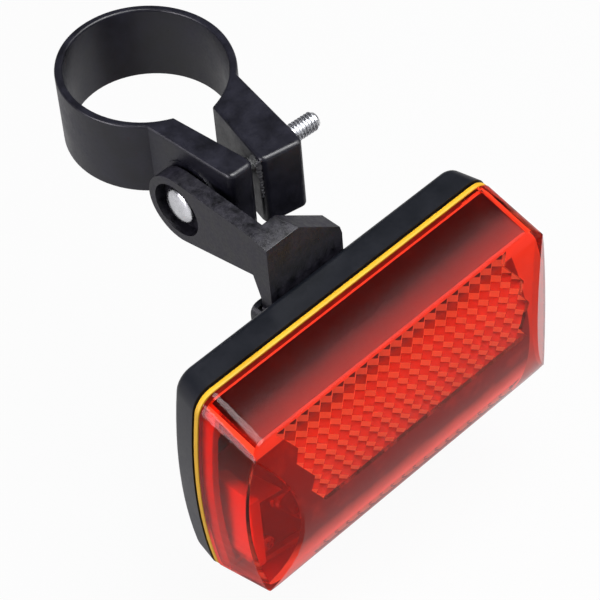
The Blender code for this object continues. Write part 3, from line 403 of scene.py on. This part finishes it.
def merged_copy(
    node: str, name: str, angle: float = 32.0, cuts: tuple[tuple[Vector, Vector], ...] = ()
) -> bpy.types.Object:
    """Copy a CAD node as one welded mesh with smooth faces and crisp edges.

    Args:
        node: Name of the CAD node.
        name: Name of the new piece.
        angle: Edges sharper than this, in degrees, stay sharp.
        cuts: Planes that divide its faces without a change of shape, each a point and
            a direction.

    Returns:
        The new object at the origin.
    """
    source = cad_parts[node]
    mesh = source.data.copy()
    mesh.name = name
    bm = bmesh.new()
    bm.from_mesh(mesh)
    bmesh.ops.remove_doubles(bm, verts=bm.verts, dist=WELD_DISTANCE)
    bmesh.ops.dissolve_limit(
        bm, angle_limit=math.radians(FLAT_WITHIN), verts=bm.verts, edges=bm.edges, delimit=set()
    )
    bmesh.ops.recalc_face_normals(bm, faces=bm.faces)
    for spot, way in cuts:
        cut_faces(bm, spot, way)
    bm.to_mesh(mesh)
    bm.free()
    if "custom_normal" in mesh.attributes:
        mesh.attributes.remove(mesh.attributes["custom_normal"])
    mesh.shade_smooth()
    mesh.set_sharp_from_angle(angle=math.radians(angle))
    piece = link_mesh(name + "_plain", mesh)
    even = piece.modifiers.new("flat_faces_stay_flat", "WEIGHTED_NORMAL")
    even.keep_sharp = True
    return evaluated_copy(piece, name)


def dress(piece: bpy.types.Object, material: bpy.types.Material) -> bpy.types.Object:
    """Give an object one material on all its faces.

    Args:
        piece: Object that is dressed.
        material: Its material.

    Returns:
        The same object.
    """
    piece.data.materials.clear()
    piece.data.materials.append(material)
    return piece


def stand_in(node: str, body: Body, material: bpy.types.Material) -> None:
    """Replace a CAD node with its smooth welded copy.

    Args:
        node: Name of the CAD node.
        body: Body that the piece rides on.
        material: Material of the piece.
    """
    piece = dress(merged_copy(node, node + "_skin"), material)
    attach(piece, body.value)
    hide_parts(node)
    LOG.info("%s: %d faces", piece.name, len(piece.data.polygons))


@dataclass
class ThreadTree:
    """Geometry node tree of a screw thread along X.

    Attributes:
        core_radius: Radius at the bottom of the thread.
        outer_radius: Radius at its crests.
        pitch: Distance between crests.
        material: Material set on the result.
        turn_steps: Straight pieces in each turn.
        tooth_steps: Sides of the wound wire that makes the crests.
    """

    core_radius: float
    outer_radius: float
    pitch: float
    material: bpy.types.Material
    turn_steps: int = 36
    tooth_steps: int = 10

    def build(self) -> bpy.types.NodeTree:
        """Build the tree.

        Returns:
            A geometry node group with the inputs Start, Length, Core, Crest and Pitch.
        """
        tree = bpy.data.node_groups.new("screw_thread", "GeometryNodeTree")
        for name in ("Start", "Length", "Core", "Crest", "Pitch"):
            tree.interface.new_socket(name, in_out="INPUT", socket_type="NodeSocketFloat")
        tree.interface.new_socket("Geometry", in_out="OUTPUT", socket_type="NodeSocketGeometry")
        start = add_node(tree, "NodeGroupInput")
        end = add_node(tree, "NodeGroupOutput")
        turns = add_node(tree, "ShaderNodeMath", operation="DIVIDE")
        tree.links.new(start.outputs["Length"], turns.inputs[0])
        tree.links.new(start.outputs["Pitch"], turns.inputs[1])
        spiral = add_node(tree, "GeometryNodeCurveSpiral")
        spiral.inputs["Resolution"].default_value = self.turn_steps
        tree.links.new(turns.outputs[0], spiral.inputs["Rotations"])
        tree.links.new(start.outputs["Core"], spiral.inputs["Start Radius"])
        tree.links.new(start.outputs["Core"], spiral.inputs["End Radius"])
        tree.links.new(start.outputs["Length"], spiral.inputs["Height"])
        upright = add_node(tree, "GeometryNodeSetCurveNormal", mode="Z_UP")
        tree.links.new(spiral.outputs["Curve"], upright.inputs["Curve"])
        tooth = add_node(tree, "GeometryNodeCurvePrimitiveCircle")
        tooth.inputs["Resolution"].default_value = self.tooth_steps
        depth = add_node(tree, "ShaderNodeMath", operation="SUBTRACT")
        tree.links.new(start.outputs["Crest"], depth.inputs[0])
        tree.links.new(start.outputs["Core"], depth.inputs[1])
        tree.links.new(depth.outputs[0], tooth.inputs["Radius"])
        sweep = add_node(tree, "GeometryNodeCurveToMesh")
        sweep.inputs["Fill Caps"].default_value = True
        tree.links.new(upright.outputs["Curve"], sweep.inputs["Curve"])
        tree.links.new(tooth.outputs["Curve"], sweep.inputs["Profile Curve"])
        turn = add_node(tree, "GeometryNodeTransform")
        turn.inputs["Rotation"].default_value = (0.0, math.pi / 2.0, 0.0)
        spot = add_node(tree, "ShaderNodeCombineXYZ")
        tree.links.new(start.outputs["Start"], spot.inputs["X"])
        tree.links.new(sweep.outputs["Mesh"], turn.inputs["Geometry"])
        tree.links.new(spot.outputs["Vector"], turn.inputs["Translation"])
        real = add_node(tree, "GeometryNodeRealizeInstances")
        paint = add_node(tree, "GeometryNodeSetMaterial")
        paint.inputs["Material"].default_value = self.material
        tree.links.new(turn.outputs["Geometry"], real.inputs["Geometry"])
        tree.links.new(real.outputs["Geometry"], paint.inputs["Geometry"])
        tree.links.new(paint.outputs["Geometry"], end.inputs["Geometry"])
        return tree

    def mesh(self, name: str, start: float, length: float) -> bpy.types.Object:
        """Make the thread as a plain mesh.

        Args:
            name: Name of the object.
            start: Where the thread begins on X.
            length: Its length.

        Returns:
            The thread as an object at the origin.
        """
        tree = self.build()
        holder = link_mesh(name + "_tree", bpy.data.meshes.new(name))
        modifier = holder.modifiers.new("thread", "NODES")
        modifier.node_group = tree
        values = {
            "Start": start,
            "Length": length,
            "Core": self.core_radius,
            "Crest": self.outer_radius,
            "Pitch": self.pitch,
        }
        for item in tree.interface.items_tree:
            if item.in_out == "INPUT":
                modifier[item.identifier] = values[item.name]
        return evaluated_copy(holder, name)


@dataclass
class MouldFlash:
    """Thin ragged strip that the mould left in the slot between the ears.

    Attributes:
        top: Middle of its upper end.
        length: Its length.
        steps: Number of pieces down its length.
        half_width: Half its width at the top.
        taper: How much narrower the half width gets.
        drift: How far it leans to the right.
        back: How far its rear edge lies behind.
        waves: Height, pace and shift of the waves that make its width ragged.
        sway: Height and pace of its wave to the sides.
        bulge: How far its front edge stands out.
        swell: Height and pace of the front edge's wave.
        finish: Its surface.
    """

    top: Place = (-4.3 * MM, -35.75 * MM, 8.2 * MM)
    length: float = 9.4 * MM
    steps: int = 26
    half_width: float = 0.75 * MM
    taper: float = 0.5 * MM
    drift: float = 0.5 * MM
    back: float = 0.3 * MM
    waves: tuple[tuple[float, float, float], ...] = ((0.16 * MM, 2.3, 0.0), (0.12 * MM, 5.1, 1.0))
    sway: tuple[float, float] = (0.1 * MM, 1.7)
    bulge: float = 0.12 * MM
    swell: tuple[float, float] = (0.1 * MM, 3.1)
    finish: Finish = field(
        default_factory=lambda: Finish(
            "ragged_nylon", (0.01, 0.01, 0.013), (0.05, 0.05, 0.055), (0.35, 0.6), blotch=900.0
        )
    )

    def section(self, step: int) -> list[Place]:
        """Work out the corners at one step down.

        Args:
            step: Number of the step.

        Returns:
            Left, front, right and rear corner.
        """
        x, y, z = self.top
        down = step / self.steps
        ragged = sum(height * math.sin(step * pace + shift) for height, pace, shift in self.waves)
        half = self.half_width - self.taper * down + ragged * (1.0 - down / 2.0)
        x += self.drift * down + self.sway[0] * math.sin(step * self.sway[1])
        z -= down * self.length
        front = y - self.bulge - self.swell[0] * math.sin(step * self.swell[1])
        return [(x - half, y, z), (x, front, z), (x + half, y, z), (x, y + self.back, z)]

    def build(self) -> None:
        """Build the strip on the band."""
        bm = bmesh.new()
        rings = [[bm.verts.new(spot) for spot in self.section(step)] for step in range(self.steps + 1)]
        for first, second in zip(rings, rings[1:]):
            for side in range(len(first)):
                after = (side + 1) % len(first)
                bm.faces.new((first[side], first[after], second[after], second[side]))
        bm.faces.new(rings[0])
        bm.faces.new(reversed(rings[-1]))
        bmesh.ops.recalc_face_normals(bm, faces=bm.faces)
        mesh = bpy.data.meshes.new("mould_flash")
        bm.to_mesh(mesh)
        bm.free()
        flash = dress(link_mesh("mould_flash", mesh), self.finish.material())
        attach(flash, Body.BAND.value)
        LOG.info("mould_flash: %d faces", len(mesh.polygons))


@dataclass
class Clamp:
    """Seat post band with its bolt and nut.

    Attributes:
        bolt_y: Place of the bolt's axis along Y.
        bolt_z: Place of the bolt's axis along Z.
        bolt_pivot_x: Place along X where the tilted axis meets bolt_y.
        bolt_tilt: Slant of the bolt in degrees.
        bolt_tip_x: End of the untilted bolt.
        thread_start_x: Start of its thread.
        thread_lead: Pitches from the shoulder to the first crest.
        thread_edge: Edges of the thread sharper than this, in degrees, stay sharp.
        core_radius: Radius between the crests.
        crest_radius: Radius at the crests.
        pitch: Distance between crests.
        plastic: Finish of the band.
        zinc: Finish of the bolt and the nut.
        rolled: Finish of the thread.
        flash: The strip in the slot.
    """

    bolt_y: float = -24.4 * MM
    bolt_z: float = -2.95 * MM
    bolt_pivot_x: float = -10.0 * MM
    bolt_tilt: float = 4.2
    bolt_tip_x: float = 19.1 * MM
    thread_start_x: float = -2.0 * MM
    thread_lead: float = 0.4
    thread_edge: float = 60.0
    core_radius: float = 1.74 * MM
    crest_radius: float = 2.03 * MM
    pitch: float = 0.75 * MM
    plastic: Finish = field(
        default_factory=lambda: Finish(
            "black_nylon",
            (0.002, 0.002, 0.004),
            (0.008, 0.008, 0.015),
            (0.26, 0.48),
            blotch=220.0,
            bump=0.000012,
        )
    )
    zinc: Finish = field(
        default_factory=lambda: Finish(
            "bright_zinc_plate",
            (0.7, 0.71, 0.73),
            (0.95, 0.96, 0.98),
            (0.15, 0.34),
            metallic=1.0,
            grain=900.0,
            blotch=420.0,
            bump=0.000008,
        )
    )
    rolled: Finish = field(
        default_factory=lambda: Finish(
            "rolled_zinc_thread",
            (0.6, 0.61, 0.64),
            (0.78, 0.79, 0.82),
            (0.3, 0.45),
            metallic=1.0,
            grain=900.0,
            blotch=260.0,
            bump=0.000004,
        )
    )
    flash: MouldFlash = field(default_factory=MouldFlash)

    def build(self) -> None:
        """Dress the band, the nut and the bolt."""
        plastic = self.plastic.material()
        zinc = self.zinc.material()
        stand_in("clamp_band", Body.BAND, plastic)
        self.flash.build()
        stand_in("clamp_nut", Body.BAND, zinc)
        self.build_bolt(zinc)

    def tilt(self) -> Matrix:
        """Work out the bolt's slant.

        Returns:
            The matrix that turns a bolt along X onto its real axis.
        """
        pivot = Matrix.Translation((self.bolt_pivot_x, self.bolt_y, self.bolt_z))
        return pivot @ Matrix.Rotation(-math.radians(self.bolt_tilt), 4, "Z") @ pivot.inverted()

    def build_bolt(self, zinc: bpy.types.Material) -> None:
        """Cut the bolt's shank to the thread's core and wind the thread round it.

        Args:
            zinc: Material of the bolt.
        """
        piece = dress(merged_copy("clamp_bolt", "threaded_bolt"), zinc)
        piece.data.transform(self.tilt().inverted())
        bm = bmesh.new()
        bm.from_mesh(piece.data)
        for cut_x in (self.thread_start_x, self.thread_start_x + self.pitch / 2.0):
            cut_faces(bm, Vector((cut_x, 0.0, 0.0)), Vector((1.0, 0.0, 0.0)))
        for vert in bm.verts:
            offset = Vector((0.0, vert.co.y - self.bolt_y, vert.co.z - self.bolt_z))
            past_shoulder = vert.co.x > self.thread_start_x + self.pitch / 4.0
            if past_shoulder and offset.length > self.core_radius:
                offset.length = self.core_radius
                vert.co.y = self.bolt_y + offset.y
                vert.co.z = self.bolt_z + offset.z
        bm.to_mesh(piece.data)
        bm.free()
        tree = ThreadTree(self.core_radius, self.crest_radius, self.pitch, self.rolled.material())
        length = self.bolt_tip_x - self.pitch - self.thread_start_x
        thread = tree.mesh("bolt_thread", self.thread_start_x + self.pitch * self.thread_lead, length)
        thread.data.transform(self.tilt() @ Matrix.Translation((0.0, self.bolt_y, self.bolt_z)))
        thread.data.shade_smooth()
        thread.data.set_sharp_from_angle(angle=math.radians(self.thread_edge))
        piece.data.transform(self.tilt())
        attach(piece, Body.BOLT.value)
        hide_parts("clamp_bolt")
        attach(thread, Body.BOLT.value)
        LOG.info("threaded_bolt: %d faces", len(piece.data.polygons))
        LOG.info("bolt_thread: %d faces", len(thread.data.polygons))


@dataclass
class Arm:
    """Arm that carries the light.

    Attributes:
        plastic: Finish of the arm.
    """

    plastic: Finish = field(
        default_factory=lambda: Finish(
            "black_nylon_arm",
            (0.001, 0.001, 0.002),
            (0.012, 0.011, 0.018),
            (0.24, 0.6),
            blotch=480.0,
            bump=0.00004,
        )
    )

    def build(self) -> None:
        """Dress the arm."""
        stand_in("mounting_arm", Body.ARM, self.plastic.material())


@dataclass
class Housing:
    """Rear shell, seal and button.

    Attributes:
        shell: Finish of the rear shell.
        seal: Finish of the seal.
        rubber: Finish of the button.
    """

    shell: Finish = field(
        default_factory=lambda: Finish(
            "housing_shell", (0.002, 0.003, 0.005), (0.006, 0.007, 0.011), (0.28, 0.42), bump=0.00001
        )
    )
    seal: Finish = field(
        default_factory=lambda: Finish(
            "yellow_seal", (0.52, 0.28, 0.008), (0.63, 0.36, 0.012), (0.4, 0.6), bump=0.00001
        )
    )
    rubber: Finish = field(
        default_factory=lambda: Finish(
            "button_rubber_skin", (0.02, 0.02, 0.02), (0.03, 0.03, 0.03), (0.6, 0.8), bump=0.00003
        )
    )

    def build(self) -> None:
        """Dress the shell, the seal and the button."""
        stand_in("rear_housing", Body.LIGHT, self.shell.material())
        stand_in("seal", Body.LIGHT, self.seal.material())
        stand_in("push_button", Body.BUTTON, self.rubber.material())


class LensZone(Enum):
    """Faces of the lens that are finished apart, numbered as their materials. SQUARE, SLANT, HAZE, DEEP and
    WALL carry painted light and shade.
    """

    CLEAR = 0
    SQUARE = 1
    SLANT = 2
    HAZE = 3
    INSIDE = 4
    DEEP = 5
    WALL = 6


@dataclass
class Cover:
    """Red lens with the reflector moulded into it.

    The corner cubes throw light back instead of letting it through, so their faces are
    painted opaque red, with painted light and shade in place of that reflection. In the
    main field the face of each cube that looks up gets the darker painted shade, and in the
    low strip the faces that look sideways do. The barrel's inner faces and the walls carry
    painted glow and painted shade too.

    Attributes:
        axis_y: Axis of the barrel along Y.
        axis_z: Axis of the barrel along Z.
        edge_angle: Edges sharper than this, in degrees, stay sharp.
        cube_lean: Least and greatest lean of a cube's face towards the axis.
        cube_area: A cube's face is smaller than this, in square metres.
        sideways: Lean along X from which a cube's face looks sideways.
        strip_top: The low strip of cubes lies below this height.
        inner_lean: Lean towards the axis from which a face is an inner one.
        wall_lean: Lean along Z from which an inner face is the window's wall.
        haze_lean: Lean towards the axis of the barrel's smooth faces.
        haze_low: The frosted band with painted light lies above this height.
        haze_right: What lies to the right of this is frosted and carries painted light.
        wall_back: Inner faces end here, in front of the rim.
        red: Outer faces.
        inside: Inner faces of the ends.
        deep: Barrel between the main field and the low strip, with painted shade that darkens upwards and a
            painted glow.
        square: Darker faces of the cubes, painted shade that darkens towards the top, with a painted glow.
        slant: Brighter faces of the cubes, painted light with a painted glow.
        haze: Frosted barrel above the main field, and the right end, painted bright with painted light and
            a faint painted glow.
        wall: Inner faces of the top and bottom walls, with painted shade that darkens towards the top.
    """

    axis_y: float = -34.55 * MM
    axis_z: float = -34.7 * MM
    edge_angle: float = 28.0
    cube_lean: tuple[float, float] = (0.45, 0.67)
    cube_area: float = 8.0 * MM * MM
    sideways: float = 0.35
    strip_top: float = -49.0 * MM
    inner_lean: float = 0.2
    wall_lean: float = 0.88
    haze_lean: float = 0.85
    haze_low: float = -16.5 * MM
    wall_back: float = -58.2 * MM
    haze_right: float = 26.5 * MM
    red: ClearPlastic = field(
        default_factory=lambda: ClearPlastic(
            "red_acrylic",
            (0.72, 0.07, 0.035),
            (0.8, 0.09, 0.045),
            glow=(0.95, 0.35, 0.25),
            roughness=0.08,
            ior=1.24,
        )
    )
    inside: ClearPlastic = field(
        default_factory=lambda: ClearPlastic(
            "red_acrylic_inside",
            (0.85, 0.12, 0.09),
            (0.95, 0.15, 0.1),
            glow=(0.95, 0.5, 0.4),
            roughness=0.04,
            ior=1.04,
            transmission=0.82,
        )
    )
    # Painted shade that darkens upwards, with a painted glow, on the barrel between the fields.
    deep: PaintedLensLight = field(
        default_factory=lambda: PaintedLensLight(
            "deep_band_painted_shade_and_glow", -48.0 * MM, -42.0 * MM, (0.8, 0.19, 0.14), (0.12, 0.018, 0.022), glow=0.5
        )
    )
    # Painted shade on the cubes' darker faces, darker towards the top, with a painted glow.
    square: PaintedLensLight = field(
        default_factory=lambda: PaintedLensLight(
            "cube_face_up_painted_shade", -21.5 * MM, -17.0 * MM, (0.33, 0.038, 0.02), (0.08, 0.03, 0.035), glow=0.3
        )
    )
    # Painted light on the cubes' brighter faces, with a painted glow.
    slant: PaintedLensLight = field(
        default_factory=lambda: PaintedLensLight(
            "cube_face_side_painted_light", -24.0 * MM, -15.5 * MM, (0.75, 0.3, 0.18), (0.6, 0.2, 0.13), glow=0.5
        )
    )
    # Painted light and a faint painted glow on the frosted band and the right end.
    haze: PaintedLensLight = field(
        default_factory=lambda: PaintedLensLight(
            "frosted_band_painted_light",
            -30.0 * MM,
            -14.0 * MM,
            (0.5, 0.15, 0.1),
            (0.55, 0.16, 0.11),
            glow=0.06,
            clouds=0.9,
        )
    )
    # Painted shade on the window's inner walls, darker towards the top.
    wall: PaintedLensLight = field(
        default_factory=lambda: PaintedLensLight(
            "window_wall_painted_shade",
            -17.2 * MM,
            -13.4 * MM,
            (0.4, 0.1, 0.09),
            (0.024, 0.005, 0.007),
            clouds=0.1,
            ior=1.12,
        )
    )

    def build(self) -> None:
        """Finish the lens zone by zone."""
        cuts = (
            (Vector((0.0, self.wall_back, 0.0)), Vector((0.0, 1.0, 0.0))),
            (Vector((self.haze_right, 0.0, 0.0)), Vector((1.0, 0.0, 0.0))),
        )
        piece = merged_copy("lens", "lens_moulding", self.edge_angle, cuts)
        piece.data.materials.clear()
        finishes = (self.red, self.square, self.slant, self.haze, self.inside, self.deep, self.wall)
        for finish in finishes:
            piece.data.materials.append(finish.material())
        counts = dict.fromkeys(LensZone, 0)
        for face in piece.data.polygons:
            zone = self.zone(face)
            face.material_index = zone.value
            counts[zone] += 1
        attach(piece, Body.COVER.value)
        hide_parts("lens")
        LOG.info("lens_moulding: %s", {zone.name: count for zone, count in counts.items()})

    def zone(self, face: bpy.types.MeshPolygon) -> LensZone:
        """Sort a face of the lens.

        Args:
            face: Face of the welded copy.

        Returns:
            The zone that the face belongs to.
        """
        spot = face.center
        inward = Vector((0.0, self.axis_y - spot.y, self.axis_z - spot.z)).normalized()
        lean = face.normal.dot(inward)
        # Cube faces that face one way get painted shade, and the rest get painted light.
        if self.cube_lean[0] < lean < self.cube_lean[1] and face.area < self.cube_area:
            sideways = abs(face.normal.x) > self.sideways
            low_strip = spot.z < self.strip_top
            return LensZone.SLANT if sideways != low_strip else LensZone.SQUARE
        inner = lean > self.inner_lean and spot.y < self.wall_back
        if abs(face.normal.z) > self.wall_lean and inner:
            return LensZone.WALL
        if lean > self.haze_lean and spot.z > self.haze_low:
            return LensZone.HAZE
        if lean > self.haze_lean and spot.x < self.haze_right:
            return LensZone.DEEP
        if inner and spot.x > self.haze_right:
            return LensZone.HAZE
        return LensZone.INSIDE if inner else LensZone.CLEAR


@dataclass
class Inside:
    """Tray, cells, contacts, circuit board and what stands on it.

    Attributes:
        bay_floor_z: The bay of the tray that carries painted shade lies above this height.
        block_end_x: It lies between these places along X.
        led_count: Number of lamps on the board.
    """

    bay_floor_z: float = -36.0 * MM
    block_end_x: tuple[float, float] = (-37.3 * MM, 28.9 * MM)
    led_count: int = 5

    def build(self) -> None:
        """Dress every piece inside the light."""
        white = Finish("white_tray", (0.78, 0.76, 0.72), (0.86, 0.85, 0.82), (0.35, 0.5)).material()
        lacquer = Finish("board_lacquer", (0.006, 0.03, 0.016), (0.01, 0.05, 0.025), (0.25, 0.4)).material()
        chip = Finish("chip_resin", (0.015, 0.015, 0.015), (0.03, 0.03, 0.03), (0.4, 0.6)).material()
        sleeve = Finish("cell_sleeve_print", (0.03, 0.03, 0.035), (0.06, 0.06, 0.07), (0.3, 0.4)).material()
        nickel = Finish("nickel_sheet", (0.6, 0.58, 0.54), (0.75, 0.73, 0.7), (0.2, 0.35), 1.0).material()
        clear = ClearPlastic("led_resin", (0.85, 0.85, 0.85), (0.9, 0.9, 0.9), roughness=0.08).material()
        # Painted shade: the tray's inner bay is coloured near black where it lies in shade behind the lens.
        bay = Finish("bay_painted_shade", (0.01, 0.01, 0.012), (0.02, 0.02, 0.022), (0.4, 0.6)).material()
        stand_in("battery_tray", Body.LIGHT, white)
        tray = bpy.data.objects["battery_tray_skin"]
        tray.data.materials.append(bay)
        # Faces of the bay above bay_floor_z get the painted shade.
        for face in tray.data.polygons:
            inner = self.block_end_x[0] < face.center.x < self.block_end_x[1]
            face.material_index = int(inner and face.center.z > self.bay_floor_z)
        stand_in("circuit_board", Body.LIGHT, lacquer)
        for node in ("tactile_switch", "controller_chip", "resistor_1", "resistor_2"):
            stand_in(node, Body.LIGHT, chip)
        for number in (1, 2):
            stand_in("battery_%d" % number, Body.LIGHT, sleeve)
            for node in ("contact_spring_%d", "contact_plate_%d", "board_screw_%d"):
                stand_in(node % number, Body.LIGHT, nickel)
        for number in range(1, self.led_count + 1):
            stand_in("led_%d" % number, Body.LIGHT, clear)


@dataclass(frozen=True)
class Softbox:
    """A square lamp.

    Attributes:
        name: Its name.
        place: Where it stands.
        size: Its side.
        power: Its power in watts.
        color: Colour of its light.
        level: Whether it lies level instead of facing the object.
    """

    name: str
    place: Place
    size: float
    power: float
    color: Color = (1.0, 1.0, 1.0)
    level: bool = False

    def build(self, aim: Place) -> None:
        """Add the lamp.

        Args:
            aim: Point that it faces.
        """
        data = bpy.data.lights.new(self.name, "AREA")
        data.shape = "SQUARE"
        data.size = self.size
        data.energy = self.power
        data.color = self.color
        lamp = bpy.data.objects.new(self.name, data)
        bpy.context.scene.collection.objects.link(lamp)
        lamp.location = self.place
        if not self.level:
            way = Vector(aim) - Vector(self.place)
            lamp.rotation_euler = way.to_track_quat("-Z", "Y").to_euler()


@dataclass
class Studio:
    """Floor, world, lamps and camera.

    Attributes:
        floor_z: Height of the floor.
        floor_half: Half its side.
        floor_grey: Its plain colour, which the lamps light.
        floor_roughness: Its roughness.
        seen_white: Share of plain white in it for the camera and through clear plastic.
        mirrored_white: Share of plain white in it for reflections.
        world_low: Colour of the world below the horizon.
        world_high: Colour of the world above it.
        world_span: Where one turns into the other, from straight down to straight up.
        aim: Point that the lamps face.
        lamps: The lamps.
        camera_place: Place of the camera.
        camera_forward: Direction that it looks in.
        camera_up: Its upward direction.
        sensor_width: Width of its sensor in millimetres.
        focal_length: Its focal length in millimetres.
        clip_start: Nearest distance that it sees.
    """

    floor_z: float = -0.08
    floor_half: float = 4.0
    floor_grey: float = 0.35
    floor_roughness: float = 0.9
    seen_white: float = 0.95
    mirrored_white: float = 0.1
    world_low: Color = (1.0, 1.0, 1.0)
    world_high: Color = (0.11, 0.11, 0.12)
    world_span: tuple[float, float] = (0.5, 0.56)
    aim: Place = (0.0, -0.03, -0.02)
    lamps: tuple[Softbox, ...] = (
        Softbox("top_softbox", (0.08, -0.22, 0.75), 0.45, 7.0),
        Softbox("left_softbox", (-0.75, 0.1, 0.3), 0.4, 5.5, (0.97, 0.93, 1.0)),
        Softbox("panel_softbox", (0.13, -0.21, 0.22), 0.3, 1.0, level=True),
    )
    camera_place: Place = (-0.2652, -0.3427, 0.3935)
    camera_forward: Place = (0.4534, 0.5194, -0.7243)
    camera_up: Place = (0.5447, 0.4817, 0.6864)
    sensor_width: float = 36.0
    focal_length: float = 180.0
    clip_start: float = 0.01

    def build(self) -> None:
        """Build the studio round the object."""
        bpy.context.scene.view_settings.view_transform = "Standard"
        self.build_floor()
        self.build_world()
        for lamp in self.lamps:
            lamp.build(self.aim)
        self.build_camera()

    def build_floor(self) -> None:
        """Lay a plain white floor that keeps a faint shadow."""
        bm = bmesh.new()
        bmesh.ops.create_grid(bm, x_segments=1, y_segments=1, size=self.floor_half)
        bmesh.ops.translate(bm, verts=bm.verts, vec=(0.0, 0.0, self.floor_z))
        mesh = bpy.data.meshes.new("studio_floor")
        bm.to_mesh(mesh)
        bm.free()
        floor = link_mesh("studio_floor", mesh)
        material, tree, shader = plain_material("floor_white")
        shader.inputs["Base Color"].default_value = (*[self.floor_grey] * 3, 1.0)
        shader.inputs["Roughness"].default_value = self.floor_roughness
        glow = add_node(tree, "ShaderNodeEmission")
        path = add_node(tree, "ShaderNodeLightPath")
        seen = add_node(tree, "ShaderNodeMath", operation="MAXIMUM")
        tree.links.new(path.outputs["Is Camera Ray"], seen.inputs[0])
        tree.links.new(path.outputs["Is Transmission Ray"], seen.inputs[1])
        part = add_node(tree, "ShaderNodeMath", operation="MULTIPLY")
        part.inputs[1].default_value = self.seen_white
        tree.links.new(seen.outputs[0], part.inputs[0])
        mirrored = add_node(tree, "ShaderNodeMath", operation="MULTIPLY")
        mirrored.inputs[1].default_value = self.mirrored_white
        tree.links.new(path.outputs["Is Glossy Ray"], mirrored.inputs[0])
        white = add_node(tree, "ShaderNodeMath", operation="MAXIMUM")
        tree.links.new(part.outputs[0], white.inputs[0])
        tree.links.new(mirrored.outputs[0], white.inputs[1])
        mix = add_node(tree, "ShaderNodeMixShader")
        tree.links.new(white.outputs[0], mix.inputs["Fac"])
        tree.links.new(shader.outputs["BSDF"], mix.inputs[1])
        tree.links.new(glow.outputs["Emission"], mix.inputs[2])
        tree.links.new(mix.outputs["Shader"], tree.nodes["Material Output"].inputs["Surface"])
        dress(floor, material)

    def build_world(self) -> None:
        """Light the world softly: white low down and dim overhead."""
        world = bpy.data.worlds.new("studio_world")
        bpy.context.scene.world = world
        world.use_nodes = True
        tree = world.node_tree
        background = tree.nodes["Background"]
        place = add_node(tree, "ShaderNodeTexCoord")
        split = add_node(tree, "ShaderNodeSeparateXYZ")
        ramp = color_ramp(tree, self.world_low, self.world_high, self.world_span)
        shift = add_node(tree, "ShaderNodeMapRange")
        shift.inputs["From Min"].default_value = -1.0
        tree.links.new(place.outputs["Generated"], split.inputs["Vector"])
        tree.links.new(split.outputs["Z"], shift.inputs["Value"])
        tree.links.new(shift.outputs["Result"], ramp.inputs["Fac"])
        tree.links.new(ramp.outputs["Color"], background.inputs["Color"])
        background.inputs["Strength"].default_value = 1.0

    def build_camera(self) -> None:
        """Set the camera at the photograph's place and angle."""
        data = bpy.data.cameras.new("photo_camera")
        data.sensor_width = self.sensor_width
        data.lens = self.focal_length
        data.clip_start = self.clip_start
        camera = bpy.data.objects.new("photo_camera", data)
        bpy.context.scene.collection.objects.link(camera)
        forward = Vector(self.camera_forward).normalized()
        up = Vector(self.camera_up)
        right = forward.cross(up).normalized()
        up = right.cross(forward)
        turn = Matrix((right, up, -forward)).transposed()
        camera.matrix_world = Matrix.Translation(self.camera_place) @ turn.to_4x4()
        bpy.context.scene.camera = camera


def main() -> None:
    """Build every sub-assembly and the studio."""
    logging.basicConfig(level=logging.INFO, format="%(name)s: %(message)s")
    for assembly in (Clamp(), Arm(), Housing(), Cover(), Inside(), Studio()):
        assembly.build()
        LOG.info("%s is built", type(assembly).__name__)


if __name__ == "__main__":
    main()
